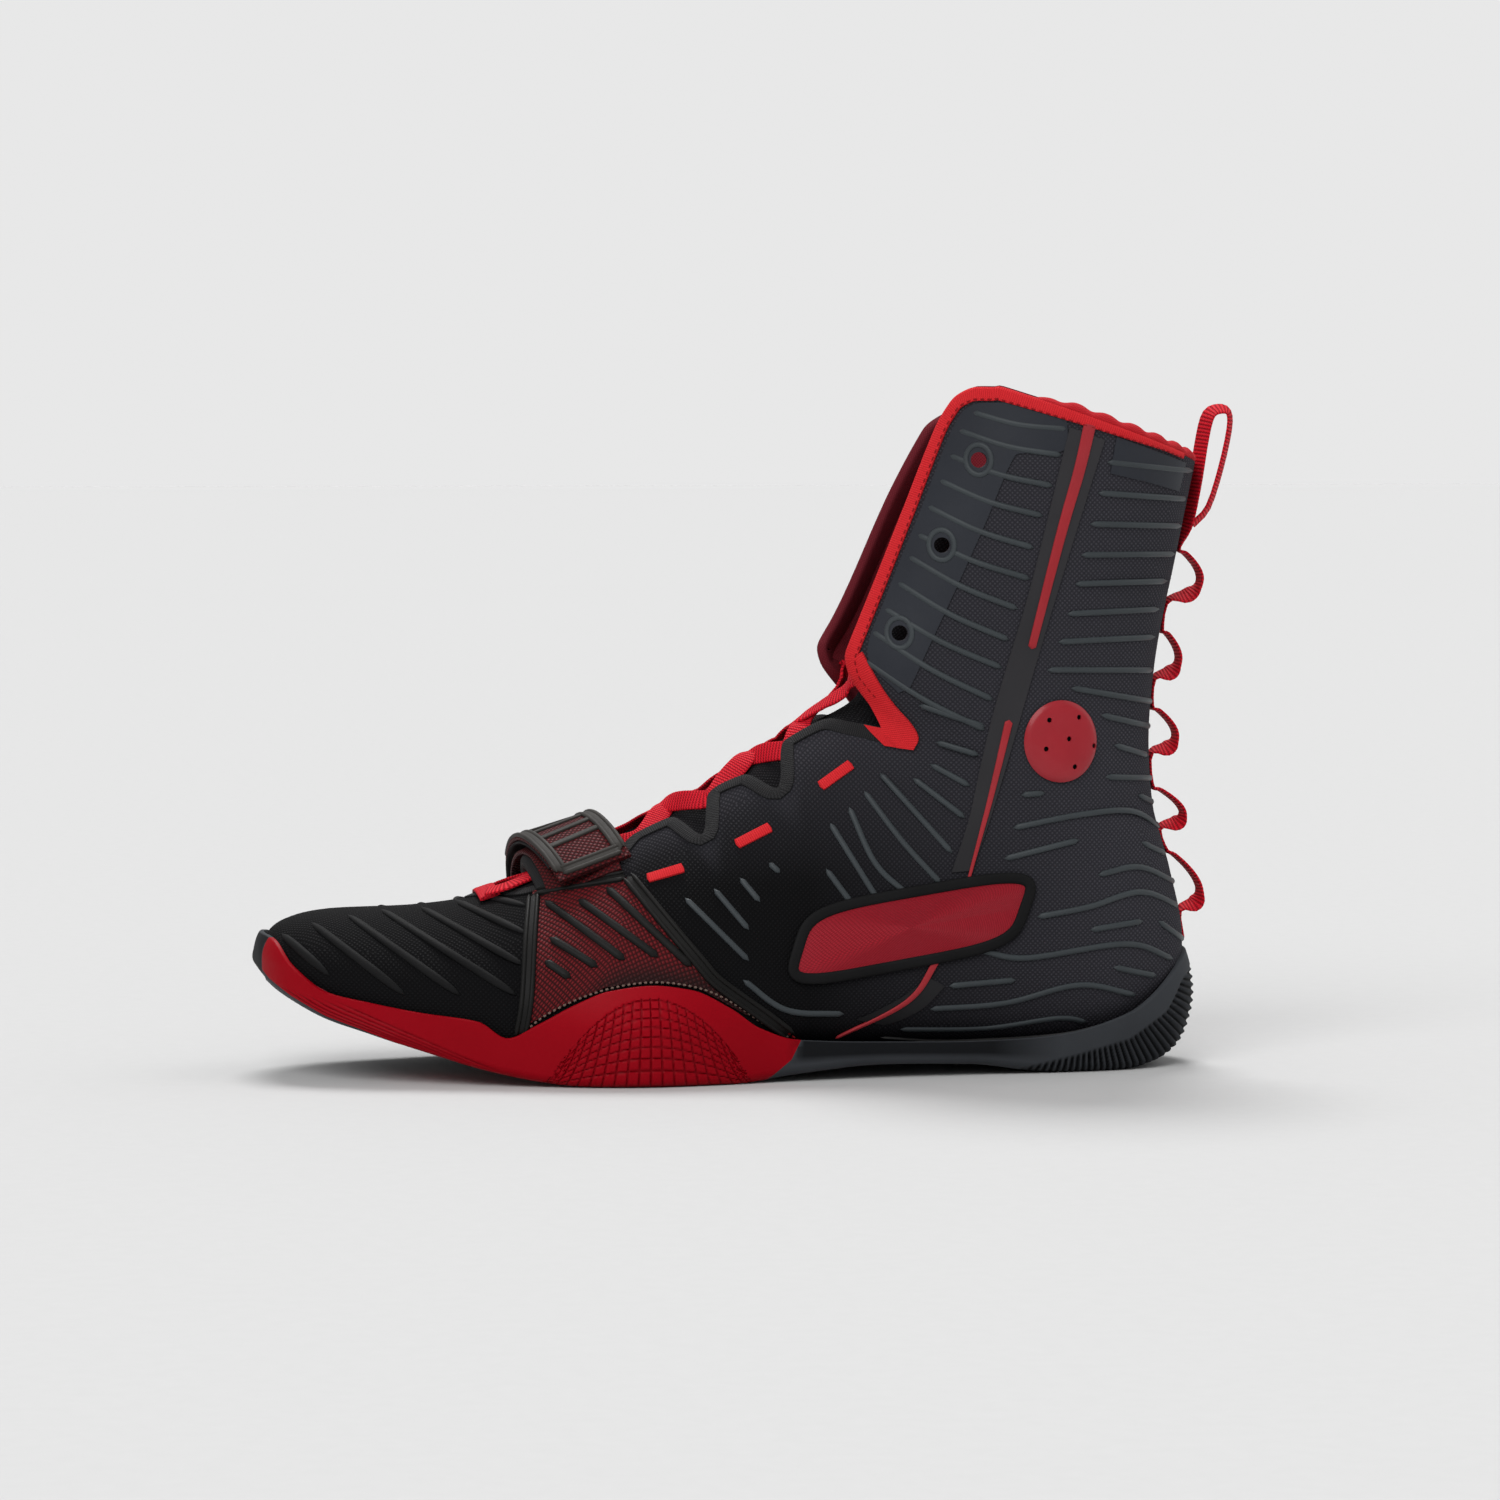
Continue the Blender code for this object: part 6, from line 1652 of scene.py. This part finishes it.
# Sock liner inside the upper
linerSet = {"top": 6.1, "thickness": 3.6, "clear": 2.3, "cup": 2.2, "fromX": 9.0, "toX": 281.0, "rows": 120,
            "columns": 31, "heelFrom": 262.0, "heelOver": 20.0, "heelRise": 7.0}


def makeLiner():
    x = np.linspace(linerSet["fromX"], linerSet["toX"], linerSet["rows"])
    z = np.interp(x, *soleBase) + linerSet["top"]
    z = z + np.clip((x - linerSet["heelFrom"]) / linerSet["heelOver"], 0, 1) ** 2 * linerSet["heelRise"]
    station, turn = stationAndTurn(x, z)
    left, right = (lastPoint(station, side * turn, -linerSet["clear"])[:, None] for side in (outer, inner))
    part = np.linspace(0, 1, linerSet["columns"])[None, :, None]
    points = left * (1 - part) + right * part
    points[..., 2] += linerSet["cup"] * np.abs(2 * part[..., 0] - 1) ** 6
    points[..., 0] = x[:, None]
    facing = np.broadcast_to((0.0, 0.0, 1.0), points.shape)
    liner = thicken(gridPiece("sockLiner", points, facing), linerSet["thickness"])
    dress(liner, "liningRed", "red_cloth", "insole", sharp=50)


makeLiner()
print("liner made")

# Pale floor under an even bright surround, and soft light from three sides
floorSet = {"size": 24.0, "low": (0.545, 0.545, 0.545), "high": (0.57, 0.57, 0.57), "fibre": 180.0,
            "rough": 0.9}
lightSet = {
    # way to the light, its strength, and how wide it is in the sky
    "key": {"way": (-0.45, -0.85, 0.9), "strength": 1.6, "wide": math.radians(40)},
    "top": {"way": (0.03, 0.58, 1.0), "strength": 2.1, "wide": math.radians(24)},
    "rim": {"way": (0.9, 0.2, 0.6), "strength": 0.5, "wide": math.radians(60)},
}
surround = (0.42, 0.42, 0.42)
backdropSet = {"behind": 11.5, "wide": 26.0, "high": 7.0, "glow": (0.806, 0.806, 0.806)}


def makeFloor():
    floor = addPiece(bpy.ops.mesh.primitive_grid_add, "studioFloor", x_subdivisions=8, y_subdivisions=8,
                     size=floorSet["size"])
    material, tree, shader = newMaterial("studioPaper")
    place = tree.nodes.new("ShaderNodeTexCoord").outputs["Object"]
    fibre = noiseNode(tree, place, floorSet["fibre"], 3.0)
    tree.links.new(mixNode(tree, fibre, floorSet["low"], floorSet["high"]), shader["Base Color"])
    shader["Roughness"].default_value = floorSet["rough"]
    shader["Specular IOR Level"].default_value = 0.0
    floor.data.materials.append(material)


def makeBackdrop():
    # glowing wall far behind the floor
    wall = addPiece(bpy.ops.mesh.primitive_grid_add, "studioBackdrop", x_subdivisions=2, y_subdivisions=2,
                    size=1.0)
    size = Matrix.Diagonal((backdropSet["wide"], backdropSet["high"], 1.0, 1.0))
    turned = Matrix.Rotation(math.pi / 2, 4, "X") @ size
    wall.data.transform(Matrix.Translation((0.0, backdropSet["behind"], 0.0)) @ turned)
    material, _, shader = newMaterial("studioGlow")
    shader["Base Color"].default_value = (0.0, 0.0, 0.0, 1.0)
    shader["Specular IOR Level"].default_value = 0.0
    shader["Emission Color"].default_value = (*backdropSet["glow"], 1.0)
    shader["Emission Strength"].default_value = 1.0
    wall.data.materials.append(material)
    wall.visible_shadow = wall.visible_diffuse = wall.visible_glossy = False  # seen, but casting nothing


def makeLights():
    for name, light in lightSet.items():
        data = bpy.data.lights.new(name + "Light", "SUN")
        data.energy = light["strength"]
        data.angle = light["wide"]
        lamp = bpy.data.objects.new(name + "Light", data)
        bpy.context.collection.objects.link(lamp)
        lamp.rotation_euler = Vector(light["way"]).to_track_quat("Z", "Y").to_euler()
    world = bpy.data.worlds.new("studio")
    world.use_nodes = True
    sky = world.node_tree.nodes["Background"]
    sky.inputs["Color"].default_value = (*surround, 1.0)
    sky.inputs["Strength"].default_value = 1.0
    bpy.context.scene.world = world
    bpy.context.scene.view_settings.view_transform = "Standard"


makeFloor()
makeBackdrop()
makeLights()
print("studio made")
